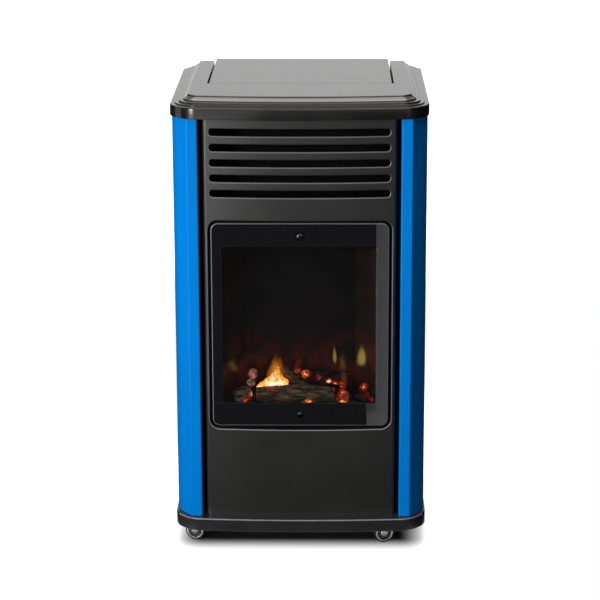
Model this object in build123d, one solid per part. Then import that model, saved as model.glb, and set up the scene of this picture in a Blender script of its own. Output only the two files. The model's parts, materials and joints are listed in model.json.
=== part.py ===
from build123d import *
from build123d.topology import SkipClean
import os
from math import sin, sqrt

# Portable gas cabinet heater, millimetres. X to the right, Y to the back, Z up.
# The origin is on the floor under the middle of the cabinet, and the window faces -Y.

# ---- lid, seen from above as a rectangle with cut corners and a bowed front
lid_width = 420.0
lid_depth = 425.0
lid_front_cut = 28.0
lid_back_cut = 20.0
lid_front_corner_radius = 40.0
lid_corner_taper = 0.85     # how much this radius falls for each millimetre drawn in
lid_back_corner_radius = 6.0
front_bow = 12.0            # how far the front stands out between its corners
rim_height = 17.0
rim_wall = 3.0
moulding_side = 30.0        # width of the stepped moulding at each side
moulding_front = 36.0
moulding_back = 25.0
tread_shares = (0.27, 0.52)  # where the moulding's two steps end, as shares of its width
tread_rise = 3.0
cove_start_share = 0.76
cove_rise = 5.8
plate_edge = 4.2
plate_thickness = 3.0
edge_round = 1.2

# ---- cabinet
cabinet_height = 681.0      # from the base deck to the lid's lower edge
sheet = 1.2
side_reveal = 1.5           # how far the lid stands out past the side panels
side_setback = 29.8         # from the lid's front to the side panels' front return
side_cut_width = 25.5
side_cut_depth = 33.0
side_corner_radius = 48.0
side_return_width = 18.0
side_back_setback = 8.5
side_back_flange = 48.0
side_back_radius = 12.0
hem_radius = 2.0

# ---- front panel and its louvre slots
panel_gap = 7.5             # dark groove between a side panel and the front panel
panel_setback = 29.5        # from the lid's front to the panel's middle
panel_flange = 22.7         # depth from the panel's middle to the end of its side flanges
slot_count = 5
slot_margin = 10.5          # from the panel's side to a slot's end
slot_height = 11.8
slot_pitch = 25.3
first_slot_drop = 26.0      # from the lid's lower edge to the first slot's middle
slot_lip = 3.0
slot_corner = 5.5

# ---- window
window_margin = 6.5         # from the panel's side to the window opening
window_height = 357.0
window_drop = 172.0         # from the lid's lower edge to the opening's top
window_corner = 17.0
window_lip = 1.2
glass_gap = 5.0
glass_thickness = 4.0
glass_setback = 9.0         # from the panel's middle to the glass
view_side_border = 18.0     # frame that covers the glass's edge from behind
view_top_border = 40.0
view_bottom_border = 39.0
gasket_width = 8.0
gasket_thickness = 1.5
window_screw_radius = 4.0
window_screw_hole = 3.0
window_screw_dome = 2.6
window_nut_radius = 5.0
window_nut_height = 3.0
frame_overlap = 5.0         # of the steel frame past the window opening
frame_foot = 18.0
frame_border = 16.0
upper_screw_drop = 22.0     # from the glass's top edge
lower_screw_rise = 19.5     # from the glass's bottom edge

# ---- base and castors
base_underside = 36.4
base_height = 21.6
base_overhang = 0.6         # past the lid's sides
base_edge_round = 2.0
base_front_setback = 9.0
base_back_setback = 4.0
base_cut_width = 27.0
base_cut_depth = 29.0
base_bow = 7.9
base_corner_radius = 40.0
base_wall = 3.5
deck_thickness = 4.5
seat_radius = 120.0         # raised round seat for the cylinder
seat_rise = 1.0
seat_back = 50.0            # from the middle of the cabinet to the seat's middle
rib_inset = 14.0            # from the base's ends to a rib's ends
rib_drop = 11.5             # of the ribs below the deck
rib_offset = 70.0
rib_thickness = 3.0
socket_wall = 2.5
boss_wall = 4.0
wheel_radius = 17.0
wheel_width = 10.0
castor_web = 8.0
wheel_gap = 0.5
wheel_dish = 2.0
tyre_width = 2.4
castor_trail = 20.0
castor_side_inset = 52.6    # stems, from the base's sides
castor_front_inset = 74.5   # from the lid's front
castor_back_inset = 62.5
stem_radius = 4.0
axle_radius = 2.5
running_gap = 0.06
castor_headroom = 0.4
castor_head_height = 6.2
castor_head_wall = 5.0
trim_ring_width = 2.2
trim_ring_height = 1.6
trim_cap_radius = 6.5
trim_cap_height = 3.4
front_left_swivel = 17.0    # how the castors stand, in degrees from trailing to the left
front_right_swivel = -15.0
back_left_swivel = 40.0
back_right_swivel = -62.0

# ---- firebox
bulkhead_setback = 102.5    # from the lid's front to the wall before the cylinder bay
firebox_floor_rise = 12.0   # above the window opening's lower edge
firebox_spread = 12.0       # how far the firebox's mouth reaches past the clear glass
cheek_slant = 48.0          # how far each cheek comes in towards the back
firebox_back_gap = 3.0
baffle_slot_length = 40.0
baffle_slot_width = 12.0
deflector_rise = 30.0
burner_margin = 47.0        # from the firebox's mouth to the burner's ends
burner_height = 22.0
burner_depth = 34.0
burner_offset = -4.0
burner_wall = 1.5
ember_thickness = 4.0
main_log_radius = 15.0
side_log_radius = 13.0
log_nudge = 4.0             # how far the logs stray from their rows
coal_size = 10.0
coal_spread = 2.5           # how much the coals differ
port_radius = 1.6
port_pitch = 9.0
port_margin = 12.0
pilot_height = 16.0
pilot_width = 18.0
pilot_depth = 15.0
pilot_tube_radius = 2.5
probe_radius = 2.0
bulkhead_flange = 14.0
air_slot_width = 200.0
air_slot_height = 8.0

# ---- controls
flap_border = 28.0          # lid left at each side of the flap, inside the moulding
flap_gap = 3.0
flap_front_gap = 1.2
flap_length = 259.5
flap_thickness = 3.0
flap_lip = 4.0
flap_skirt = 10.0
flap_lip_wall = 2.4
flap_back_inset = 3.0       # from the lid's back
flap_arm_thickness = 6.0
flap_arm_radius = 6.0
hinge_drop = 23.0           # below the lid's top
hinge_inset = 14.5          # from the lid's back
hinge_pin_radius = 2.0
well_depth = 44.0
well_wall = 2.5
well_margin = 7.5          # ledge in front of the control plate, and free edge around it
spindle_hole = 6.0
button_hole = 11.0
knob_x = -62.0
button_x = 58.0
control_back = 60.0         # from the middle of the cabinet to the controls
knob_radius = 23.0
knob_height = 21.0
knob_disc = 7.4
knob_grip_length = 39.0
knob_grip_width = 12.0
knob_grip_corner = 3.0
knob_edge = 2.0
spindle_radius = 4.0
spindle_flat = 3.0          # from the spindle's middle
spindle_reach = 14.7        # into the knob
spindle_push = 3.0
button_radius = 8.0
button_travel = 4.0
button_stand = 8.0
button_depth = 9.0
igniter_wall = 4.0
igniter_neck_wall = 2.0
igniter_length = 36.0
igniter_bore = 14.0
fascia_thickness = 1.0
seat_gap = 0.3
valve_height = 34.0
valve_length = 62.0
valve_width = 36.0
valve_corner = 4.0
valve_neck_radius = 12.0
valve_neck = 5.0
outlet_radius = 8.0
outlet_length = 6.0
tail_radius = 5.2
tail_nut = 6.0
tail_nut_radius = 8.8
tail_neck_radius = 4.0
tail_bore = 2.3
tail_barbs = 4
tail_pitch = 6.0
pipe_radius = 4.0
pipe_bend = 14.0
pipe_lead = 28.0            # from the valve's outlet to the first bend
pipe_clearance = 22.0       # from the side panel's inner face to the pipe's middle
injector_length = 26.0
injector_radius = 5.0
nut_radius = 7.5
nut_length = 10.0

# ---- back
cover_overlap = 11.5        # of the cover on the side panels' back flanges
cover_top_gap = 0.7         # below the back rail
cover_bulge = 6.5
cover_border = 12.0
cover_slot_width = 66.0
cover_slot_height = 6.0
cover_slot_pitch = 15.0
cover_slot_rows = 7
back_rail_height = 34.0
screw_head_radius = 3.5
screw_head_height = 1.8
screw_shank_radius = 2.0
screw_shank = 9.0
screw_spread = 8.0
hook_height = 24.0
hook_reach = 8.0
hook_inset = 120.0          # from the cover's ends
vent_inset = 40.0
vent_spacing = 18.0         # between the vents of a row
vent_corner = 2.6
rail_foot = 14.0

# ---- positions worked out from the sizes above
lid_front = -lid_depth / 2
lid_back = lid_depth / 2
deck_top = base_underside + base_height
lid_bottom = deck_top + cabinet_height
rim_top = lid_bottom + rim_height
moulding_top = rim_top + 2 * tread_rise
cove_top = moulding_top + cove_rise
lid_top = cove_top + plate_edge
panel_front = lid_front + panel_setback
side_front = lid_front + side_setback
side_half = lid_width / 2 - side_reveal
side_back = lid_back - side_back_setback
side_inner = side_half - sheet
return_edge = side_half - side_cut_width - side_return_width
panel_half = return_edge - panel_gap
slot_length = 2 * (panel_half - slot_margin)
window_width = 2 * (panel_half - window_margin)
frame_plane = panel_front + panel_flange
window_top = lid_bottom - window_drop
window_bottom = window_top - window_height
glass_front = panel_front + glass_setback
glass_back = glass_front + glass_thickness
glass_width = window_width - 2 * glass_gap
glass_height = window_height - 2 * glass_gap
window_middle = (window_top + window_bottom) / 2
view_plane = glass_back + gasket_thickness
view_back = view_plane + sheet
view_width = glass_width - 2 * view_side_border
view_height = glass_height - view_top_border - view_bottom_border
view_middle = window_middle + (view_bottom_border - view_top_border) / 2
upper_screw_z = window_middle + glass_height / 2 - upper_screw_drop
lower_screw_z = window_middle - glass_height / 2 + lower_screw_rise
bulkhead = lid_front + bulkhead_setback
firebox_back = bulkhead - firebox_back_gap
firebox_mouth = view_width + 2 * firebox_spread
firebox_back_width = firebox_mouth - 2 * cheek_slant
burner_width = firebox_mouth - 2 * burner_margin
firebox_floor = window_bottom + firebox_floor_rise
firebox_top = window_top
burner_middle = (view_back + firebox_back) / 2
burner_top = firebox_floor + burner_height
base_front = lid_front + base_front_setback
base_back = lid_back - base_back_setback
base_half = lid_width / 2 + base_overhang
castor_spread = base_half - castor_side_inset
well_floor = lid_top - well_depth
well_top = lid_top - plate_thickness
well_back = lid_back - moulding_back - rim_wall
ceiling = rim_top - rim_wall    # underside of the lid's rim and steps
flap_width = lid_width - 2 * (moulding_side + flap_border)
notch_half = flap_width / 2 + flap_gap
flap_back = lid_back - flap_back_inset
flap_front = flap_back - flap_length
flap_under = lid_top - flap_thickness
hinge_y = lid_back - hinge_inset
hinge_z = lid_top - hinge_drop
cover_plane = side_back + seat_gap
cover_width = 2 * (side_half - side_back_flange + cover_overlap)
cover_bottom = deck_top + seat_gap
cover_height = lid_bottom - back_rail_height - cover_top_gap - cover_bottom
castor_front = lid_front + castor_front_inset
castor_back = lid_back - castor_back_inset
fascia_top = well_floor + well_wall + fascia_thickness
knob_low = fascia_top + spindle_push + seat_gap
spindle_top = knob_low + spindle_reach
valve_top = well_floor
valve_middle_z = valve_top - valve_height / 2
inlet_y = control_back + valve_length / 2
outlet_y = control_back - valve_length / 2
pipe_side = side_inner - pipe_clearance
injector_x = -burner_width / 2 + burner_offset
injector_z = burner_top - burner_height / 2
nut_start = injector_x - injector_length
log_seat = burner_top + ember_thickness
front_row = burner_middle - 9.0
back_row = burner_middle + 12.5
pilot_x = burner_width / 2 + burner_offset + 11
pilot_y = burner_middle - 8.0
pilot_probes = (pilot_y - 4.5, pilot_y + 4.5)
castor_spots = ((-castor_spread, castor_front), (castor_spread, castor_front),
                (-castor_spread, castor_back), (castor_spread, castor_back))
socket_low = base_underside + 5.0
socket_top = deck_top - deck_thickness
socket_radius = stem_radius + socket_wall
head_top = socket_low - castor_headroom
head_low = head_top - castor_head_height
stem_stop = socket_top - 1.5
lid_shoulder = lid_width / 2 - lid_front_cut
far = 2 * max(lid_width, lid_depth, lid_top)


def save(name, shape):
    """Write one sub-part."""
    shape.label = name
    export_step(shape, f"parts/{name}.step")


def block(x, y, z):
    """A box from three (low, high) pairs."""
    size = [high - low for low, high in (x, y, z)]
    middle = [(high + low) / 2 for low, high in (x, y, z)]
    return Pos(*middle) * Box(*size)


def rod(start, end, radius):
    """A round bar between two points."""
    direction = Vector(*end) - Vector(*start)
    plane = Plane(origin=start, z_dir=direction)
    return extrude(plane * Circle(radius), amount=direction.length)


def tube(points, radii, radius):
    """A bent pipe along straight runs joined by arcs."""
    path = FilletPolyline(*points, radius=radii)
    start = Plane(origin=path @ 0, z_dir=path % 0)
    return sweep(start * Circle(radius), path=path)


def bent_sheet(points, radii, thickness, side=Side.LEFT):
    """The section of a folded sheet along a path in plan."""
    path = FilletPolyline(*points, radius=radii)
    return make_face(offset(path, amount=thickness, side=side, closed=True))


def round_near(sketch, spots, radius):
    """Round the corners of a sketch that lie near the given points."""
    corners = [min(sketch.vertices(), key=lambda v: (v.X - x) ** 2 + (v.Y - y) ** 2) for x, y in spots]
    return fillet(corners, radius)


def cabinet_plan(half, front, back, cut, back_cut, bow, radius, back_radius):
    """Outline from above: cut corners, and a front that bows out between them.

    cut is the (width, depth) of the front corners.
    """
    cut_x, cut_y = cut
    shoulder = front + bow
    left_front = (-(half - cut_x), shoulder)
    right_front = (half - cut_x, shoulder)
    left_side = (-half, shoulder + cut_y)
    right_side = (half, shoulder + cut_y)
    left_back = (-half, back - back_cut)
    right_back = (half, back - back_cut)
    left_rear = (-(half - back_cut), back)
    right_rear = (half - back_cut, back)
    around = Polyline(right_front, right_side, right_back, right_rear,
                      left_rear, left_back, left_side, left_front)
    outline = make_face(around + ThreePointArc(left_front, (0, front), right_front))
    outline = round_near(outline, (left_front, right_front, left_side, right_side), radius)
    return round_near(outline, (left_back, right_back, left_rear, right_rear), back_radius)


def lid_plan(share=0.0, wall=0.0):
    """The lid's outline, drawn in by a share of its moulding and by a wall."""
    side = moulding_side * share + wall
    front = moulding_front * share + wall
    back = moulding_back * share + wall
    shrink = (2 - sqrt(2)) * side
    cut = lid_front_cut - shrink
    back_cut = max(lid_back_cut - shrink, lid_back_corner_radius)
    radius = max(lid_front_corner_radius - lid_corner_taper * side, edge_round)
    back_radius = lid_back_corner_radius / 2
    return cabinet_plan(lid_width / 2 - side, lid_front + front, lid_back - back,
                        (cut, cut), back_cut, front_bow, radius, back_radius)


def slab(outline, low, high):
    """A flat outline given its height."""
    return extrude(Pos(0, 0, low) * outline, amount=high - low)


def top_lid():
    """Moulded lid: rim, two steps, a cove and the top plate, hollow below."""
    body = slab(lid_plan(), lid_bottom, rim_top)
    for step, share in enumerate(tread_shares):
        body += slab(lid_plan(share), lid_bottom, rim_top + (step + 1) * tread_rise)
    cove_foot = Pos(0, 0, moulding_top) * lid_plan(cove_start_share)
    cove_head = Pos(0, 0, cove_top) * lid_plan(1.0)
    body += loft([cove_foot, cove_head], ruled=True)
    body += slab(lid_plan(1.0), lid_bottom, lid_top)
    body -= slab(lid_plan(0.0, rim_wall), lid_bottom, ceiling)
    body -= slab(lid_plan(1.0, rim_wall), ceiling, well_top)
    notch_front = flap_front - flap_front_gap
    body -= block((-notch_half, notch_half), (notch_front, lid_back + 1), (lid_bottom - 1, lid_top + 1))
    return body


def control_well():
    """Tub under the flap that holds the control plate, with ears for the hinge pins."""
    outer = notch_half + well_wall
    front = flap_front - flap_front_gap
    floor_top = well_floor + well_wall
    body = block((-outer, outer), (front - well_wall, well_back), (well_floor, well_top))
    body -= block((-notch_half, notch_half), (front, well_back - well_wall), (floor_top, well_top + 1))
    body -= block((-notch_half, notch_half), (well_back - well_wall - 1, well_back + 1),
                  (ceiling, well_top + 1))
    ledge_top = flap_under - flap_lip - seat_gap
    body += block((-notch_half, notch_half), (front, front + well_margin), (ledge_top - well_wall, ledge_top))
    ear_back = hinge_y + flap_arm_radius + 1
    ear_low = hinge_z - flap_arm_radius
    for inner in (-outer, notch_half):
        body += block((inner, inner + well_wall), (well_back, ear_back), (ear_low, ceiling))
    body -= rod((-outer - 1, hinge_y, hinge_z), (outer + 1, hinge_y, hinge_z), hinge_pin_radius)
    body -= Pos(knob_x, control_back, well_floor) * Cylinder(spindle_hole, 4 * well_wall)
    body -= Pos(button_x, control_back, well_floor) * Cylinder(button_hole, 4 * well_wall)
    return body


def control_flap():
    """Hinged cover over the controls: plate, stiffening lip, back skirt and two hinge arms."""
    half = flap_width / 2
    plan = make_face(Polyline((-half, flap_front), (half, flap_front), (half, flap_back), (-half, flap_back),
                              close=True))
    plan = round_near(plan, ((half, flap_back), (-half, flap_back)), 4 * edge_round)
    body = slab(plan, flap_under, lid_top)
    lip = flap_lip_wall
    inner_front = flap_front + lip
    body += block((-half, half), (flap_front, inner_front), (flap_under - flap_lip, flap_under))
    for edge in (-half, half - lip):
        body += block((edge, edge + lip), (flap_front, well_back), (flap_under - flap_lip, flap_under))
    body += block((-half + 4 * edge_round, half - 4 * edge_round), (flap_back - flap_thickness, flap_back),
                  (lid_top - flap_skirt, flap_under))
    arm_gap = flap_gap + flap_thickness
    for side in (-1, 1):
        near, away = sorted((side * (half - arm_gap), side * (half - arm_gap - flap_arm_thickness)))
        arm = block((near, away), (hinge_y - flap_arm_radius, hinge_y + flap_arm_radius),
                    (hinge_z, flap_under))
        arm += rod((near, hinge_y, hinge_z), (away, hinge_y, hinge_z), flap_arm_radius)
        body += arm
    body -= rod((-far, hinge_y, hinge_z), (far, hinge_y, hinge_z), hinge_pin_radius + running_gap)
    return body


def flap_hinge_pins():
    """The two steel pins on which the flap turns, pressed into the well's ears."""
    pins = []
    start = flap_width / 2 - flap_gap - flap_thickness - flap_arm_thickness - 1
    end = notch_half + well_wall
    for side in (-1, 1):
        pins.append(rod((side * start, hinge_y, hinge_z), (side * end, hinge_y, hinge_z), hinge_pin_radius))
    return Compound(children=pins)


def control_fascia():
    """Thin plate on the well's floor that carries the dial marks."""
    front = flap_front - flap_front_gap + well_wall + well_margin
    back = well_back - well_wall - well_margin
    floor_top = well_floor + well_wall
    half = notch_half - well_margin
    plate = block((-half, half), (front, back), (floor_top, floor_top + fascia_thickness))
    plate -= Pos(knob_x, control_back, floor_top) * Cylinder(spindle_hole, 4 * well_wall)
    plate -= Pos(button_x, control_back, floor_top) * Cylinder(button_hole, 4 * well_wall)
    return plate


def gas_valve():
    """Die-cast tap and regulator body under the controls."""
    body = block((knob_x - valve_width / 2, knob_x + valve_width / 2), (outlet_y, inlet_y),
                 (valve_top - valve_height, valve_top - valve_neck))
    body = fillet(body.edges().filter_by(Axis.Z), valve_corner)
    body += rod((knob_x, control_back, valve_top - valve_neck), (knob_x, control_back, valve_top),
                valve_neck_radius)
    body += rod((knob_x, outlet_y, valve_middle_z), (knob_x, outlet_y - outlet_length, valve_middle_z),
                outlet_radius)
    body -= rod((knob_x, control_back, valve_middle_z), (knob_x, control_back, valve_top + 1),
                spindle_radius + running_gap)
    return body


def valve_spindle():
    """Spindle of the tap, with a flat for the knob."""
    body = rod((knob_x, control_back, valve_middle_z + seat_gap), (knob_x, control_back, spindle_top),
               spindle_radius)
    offcut = block((knob_x + spindle_flat, knob_x + spindle_radius + 1),
                   (control_back - spindle_radius, control_back + spindle_radius), (fascia_top, lid_top))
    return body - offcut


def control_knob():
    """Knob with a raised grip bar and a D-shaped socket."""
    foot = Pos(knob_x, control_back, knob_low)
    body = foot * extrude(Circle(knob_radius), amount=knob_disc)
    body = fillet(body.edges().sort_by(Axis.Z)[-1], knob_edge)
    grip = RectangleRounded(knob_grip_length, knob_grip_width, knob_grip_corner)
    body += foot * extrude(grip, amount=knob_height)
    flat = spindle_flat + running_gap
    socket = Circle(spindle_radius + running_gap)
    socket -= Pos(flat + spindle_radius, 0) * Rectangle(2 * spindle_radius, 4 * spindle_radius)
    depth = spindle_reach + spindle_push + seat_gap
    return body - foot * extrude(socket, amount=depth)


def igniter_body():
    """Piezo igniter barrel clipped under the well's floor."""
    top = well_floor - seat_gap
    body = rod((button_x, control_back, top - igniter_length), (button_x, control_back, top),
               button_radius + igniter_wall)
    body += rod((button_x, control_back, top), (button_x, control_back, fascia_top - seat_gap),
                button_radius + igniter_neck_wall)
    bore = rod((button_x, control_back, top - igniter_bore), (button_x, control_back, lid_top),
               button_radius + running_gap)
    return body - bore


def igniter_button():
    """Push button of the igniter."""
    low = well_floor - seat_gap - button_depth
    top = fascia_top + button_stand
    body = rod((button_x, control_back, low), (button_x, control_back, top), button_radius)
    return fillet(body.edges().sort_by(Axis.Z)[-1], knob_edge)


def hose_tail():
    """Barbed inlet on the valve where a gas hose is pushed on."""
    mouth = Plane(origin=(knob_x, inlet_y, valve_middle_z), z_dir=(0, 1, 0))
    body = extrude(mouth * RegularPolygon(tail_nut_radius, 6), amount=tail_nut)
    for barb in range(tail_barbs):
        middle = inlet_y + tail_nut + (barb + 0.5) * tail_pitch
        body += Pos(knob_x, middle, valve_middle_z) * Rot(-90, 0, 0) * Cone(
            tail_radius, tail_neck_radius, tail_pitch)
    end = inlet_y + tail_nut + (tail_barbs + 1) * tail_pitch
    return body - rod((knob_x, inlet_y, valve_middle_z), (knob_x, end, valve_middle_z), tail_bore)


def gas_pipe():
    """Rigid pipe from the valve, down beside the bay and through to the burner."""
    start = (knob_x, outlet_y - outlet_length, valve_middle_z)
    lead_y = outlet_y - outlet_length - pipe_lead
    drop_y = bulkhead + sheet + 3 * pipe_radius
    points = (start, (knob_x, lead_y, valve_middle_z), (-pipe_side, lead_y, valve_middle_z),
              (-pipe_side, drop_y, valve_middle_z), (-pipe_side, drop_y, injector_z),
              (-pipe_side, burner_middle, injector_z), (nut_start, burner_middle, injector_z))
    return tube(points, [pipe_bend] * 5, pipe_radius)


def burner_injector():
    """Brass injector and its nut, between the pipe and the burner."""
    plane = Plane(origin=(nut_start, burner_middle, injector_z), z_dir=(1, 0, 0))
    body = extrude(plane * RegularPolygon(nut_radius, 6), amount=nut_length)
    return body + rod((nut_start + nut_length, burner_middle, injector_z),
                      (injector_x, burner_middle, injector_z), injector_radius)


def side_panel(side):
    """Folded steel side: front return and hem, cut corner, flat side and back flange."""
    flange_end = side_half - side_back_flange
    points = ((flange_end, side_back), (side_half, side_back), (side_half, side_front + side_cut_depth),
              (side_half - side_cut_width, side_front), (return_edge, side_front), (return_edge, frame_plane))
    radii = [side_back_radius, side_corner_radius, hem_radius, hem_radius]
    section = bent_sheet(points, radii, sheet, Side.RIGHT)
    body = slab(section, deck_top, lid_bottom)
    return body if side > 0 else mirror(body, about=Plane.YZ)


def bow_depth(x, half, bow):
    """How far back a bowed line has fallen at x, where it falls by bow at half."""
    radius = (half ** 2 + bow ** 2) / (2 * bow)
    return radius - sqrt(radius ** 2 - x ** 2)


def bow_band(half, front, depth):
    """Plan of a bowed sheet between two equal arcs, of the lid's own bow."""
    fall = bow_depth(half, lid_shoulder, front_bow)
    near = ThreePointArc((-half, front + fall), (0, front), (half, front + fall))
    away = ThreePointArc((-half, front + fall + depth), (0, front + depth), (half, front + fall + depth))
    ends = Line((-half, front + fall), (-half, front + fall + depth))
    ends += Line((half, front + fall), (half, front + fall + depth))
    return make_face(near + away + ends)


def front_cutter(width, height, radius, middle_z, y_low, y_high, x=0.0):
    """A rounded bar along Y, for openings and lips in the front."""
    outline = Plane(origin=(x, y_low, middle_z), x_dir=(1, 0, 0), z_dir=(0, 1, 0)) * RectangleRounded(
        width, height, radius)
    return extrude(outline, amount=y_high - y_low)


def front_panel():
    """Bowed steel front with side flanges, five louvre slots and the lipped window opening.

    It is built in level bands, one to each slot and one to the window.
    """
    fall = bow_depth(panel_half, lid_shoulder, front_bow)
    edge = panel_front + fall
    outer = make_face(ThreePointArc((-panel_half, edge), (0, panel_front), (panel_half, edge)) +
                      Polyline((panel_half, edge), (panel_half, frame_plane), (-panel_half, frame_plane),
                               (-panel_half, edge)))
    outer = round_near(outer, ((panel_half, edge), (-panel_half, edge)), hem_radius)
    inner_half = panel_half - sheet
    inner_edge = panel_front + sheet + bow_depth(inner_half, lid_shoulder, front_bow)
    inner = make_face(ThreePointArc((-inner_half, inner_edge), (0, panel_front + sheet),
                                    (inner_half, inner_edge)) +
                      Polyline((inner_half, inner_edge), (inner_half, frame_plane + 1),
                               (-inner_half, frame_plane + 1), (-inner_half, inner_edge)))
    section = outer - inner
    reach = (lid_front, 0)
    lip_start = panel_front + sheet / 2
    lip_end = view_plane - seat_gap
    lip_half = panel_half - 2 * sheet
    bands = []
    high = lid_bottom
    for slot in range(slot_count):
        middle = lid_bottom - first_slot_drop - slot * slot_pitch
        low = middle - slot_pitch / 2
        ring = front_cutter(slot_length + 2 * window_lip, slot_height + 2 * window_lip,
                            slot_corner + window_lip, middle, *reach)
        band = slab(section, low, high) + (ring & slab(bow_band(lip_half, lip_start, slot_lip), low, high))
        bands.append(band - front_cutter(slot_length, slot_height, slot_corner, middle, *reach))
        high = low
    frame = front_cutter(window_width + 2 * window_lip, window_height + 2 * window_lip,
                         window_corner + window_lip, window_middle, *reach)
    zone = slab(bow_band(lip_half, lip_start, lip_end - lip_start), deck_top, high)
    zone &= block((-panel_half, panel_half), (panel_front, lip_end), (deck_top, high))
    band = slab(section, deck_top, high) + (frame & zone)
    bands.append(band - front_cutter(window_width, window_height, window_corner, window_middle, *reach))
    with SkipClean():
        panel = bands[0].fuse(*bands[1:])
    return panel


def glass_window():
    """Flat toughened glass with rounded corners and two screw holes."""
    pane = front_cutter(glass_width, glass_height, window_corner - glass_gap, window_middle,
                        glass_front, glass_back)
    for z in (upper_screw_z, lower_screw_z):
        pane -= rod((0, glass_front - 1, z), (0, glass_back + 1, z), window_screw_hole)
    return pane


def window_gasket():
    """Woven seal pressed between the glass and its frame."""
    outer = front_cutter(glass_width - 4, glass_height - 4, window_corner - glass_gap, window_middle,
                         glass_back, view_plane)
    inner = front_cutter(glass_width - 4 - 2 * gasket_width, glass_height - 4 - 2 * gasket_width,
                         window_corner - glass_gap, window_middle, glass_back, view_plane)
    return outer - inner


def window_frame():
    """Steel frame behind the glass, with folded edges that carry the firebox."""
    half = panel_half - 2 * sheet
    low = window_bottom - frame_overlap
    high = window_top + frame_overlap
    plate = block((-half, half), (view_plane, view_back), (low, high))
    plate -= front_cutter(view_width, view_height, 4, view_middle, view_plane - 1, view_back + 1)
    for z in (upper_screw_z, lower_screw_z):
        plate -= rod((0, view_plane - 1, z), (0, view_back + 1, z), window_screw_hole)
    for z in (low, high - sheet):
        plate += block((-half, half), (view_plane, frame_plane), (z, z + sheet))
    return plate


def window_screws():
    """Two dome-headed screws through the glass into the frame."""
    screws = []
    for z in (upper_screw_z, lower_screw_z):
        head = rod((0, glass_front, z), (0, glass_front - window_screw_dome, z), window_screw_radius)
        head = fillet(head.edges().sort_by(Axis.Y)[0], 0.7 * window_screw_dome)
        screw = head + rod((0, glass_front, z), (0, view_back + 5, z), window_screw_hole - 0.5)
        nut_plane = Plane(origin=(0, view_back, z), z_dir=(0, 1, 0))
        nut = extrude(nut_plane * RegularPolygon(window_nut_radius, 6), amount=window_nut_height)
        screws.append(screw + nut)
    return Compound(children=screws)


def front_frame():
    """Inner steel frame that carries the front panel and closes the grooves beside it."""
    half = side_half - 14
    plate = block((-half, half), (frame_plane, frame_plane + sheet), (deck_top, lid_bottom))
    opening = panel_half - frame_border / 2
    plate -= block((-opening, opening), (frame_plane - 1, frame_plane + sheet + 1),
                   (deck_top + frame_border, lid_bottom - frame_border))
    foot = frame_plane + frame_foot
    plate += block((-half, half), (frame_plane, foot), (deck_top, deck_top + sheet))
    plate += block((-half, half), (frame_plane, foot), (lid_bottom - sheet, lid_bottom))
    return plate


def firebox_plan(extra=0.0):
    """Plan of the firebox: wide at the window, narrow at the back."""
    front = view_back
    return make_face(Polyline((-firebox_mouth / 2 - extra, front), (firebox_mouth / 2 + extra, front),
                              (firebox_back_width / 2 + extra, firebox_back),
                              (-firebox_back_width / 2 - extra, firebox_back), close=True))


def firebox_floor_plate():
    """Floor of the firebox."""
    return slab(firebox_plan(), firebox_floor - sheet, firebox_floor)


def firebox_back_wall():
    """Back of the firebox, between the cheeks and the bulkhead."""
    half = firebox_back_width / 2
    return block((-half, half), (firebox_back, bulkhead), (firebox_floor - sheet, firebox_top))


def firebox_cheek(side):
    """Slanted side wall of the firebox."""
    wall = firebox_plan(firebox_back_gap) - firebox_plan()
    wall &= Pos(side * far / 2, 0) * Rectangle(far, far)
    cheek = slab(wall, firebox_floor - sheet, firebox_top)
    if side < 0:
        cheek -= rod((-far, burner_middle, injector_z), (0, burner_middle, injector_z), nut_radius + seat_gap)
    return cheek


def firebox_baffle():
    """Steel top of the firebox, with slots that let the hot air rise."""
    plate = slab(firebox_plan(firebox_back_gap), firebox_top, firebox_top + sheet)
    for side in (-1, 0, 1):
        plate -= Pos(side * firebox_back_width / 3, burner_middle, firebox_top) * Box(
            baffle_slot_length, baffle_slot_width, 4 * sheet)
    return plate


def heat_deflector():
    """Folded plate behind the louvres that turns the rising air forward."""
    half = panel_half - 10
    top = lid_bottom - sheet
    low = firebox_top + 2 * sheet
    points = ((bulkhead, low), (bulkhead, top - deflector_rise), (frame_plane + frame_foot / 2, top))
    path = FilletPolyline(*points, radius=[8])
    section = make_face(offset(path, amount=sheet, side=Side.LEFT, closed=True))
    plane = Plane(origin=(-half, 0, 0), x_dir=(0, 1, 0), z_dir=(1, 0, 0))
    return extrude(plane * section, amount=2 * half)


def bulkhead_plate():
    """Wall between the firebox and the cylinder bay, folded back at its sides."""
    wall = block((-side_inner, side_inner), (bulkhead, bulkhead + sheet), (deck_top, lid_bottom - sheet))
    for side in (-1, 1):
        low, high = sorted((side * side_inner, side * (side_inner - sheet)))
        wall += block((low, high), (bulkhead, bulkhead + bulkhead_flange), (deck_top, lid_bottom - sheet))
    wall -= rod((-pipe_side, bulkhead - sheet, injector_z), (-pipe_side, bulkhead + 2 * sheet, injector_z),
                pipe_radius + seat_gap)
    for row in range(3):
        wall -= Pos(0, bulkhead, deck_top + (5 + 3 * row) * air_slot_height) * Box(
            air_slot_width, 6 * sheet, air_slot_height)
    return wall


def burner_tray():
    """Perforated steel burner box under the ember bed."""
    width = (-burner_width / 2 + burner_offset, burner_width / 2 + burner_offset)
    depth = (burner_middle - burner_depth / 2, burner_middle + burner_depth / 2)
    body = block(width, depth, (firebox_floor, burner_top))
    body -= block((width[0] + burner_wall, width[1] - burner_wall),
                  (depth[0] + burner_wall, depth[1] - burner_wall),
                  (firebox_floor + burner_wall, burner_top - burner_wall))
    count = int((burner_width - 2 * port_margin) / port_pitch) + 1
    ports = [Pos(width[0] + port_margin + port_pitch * step, burner_middle, burner_top) *
             Cylinder(port_radius, 4 * burner_wall) for step in range(count)]
    return body - ports


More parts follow.
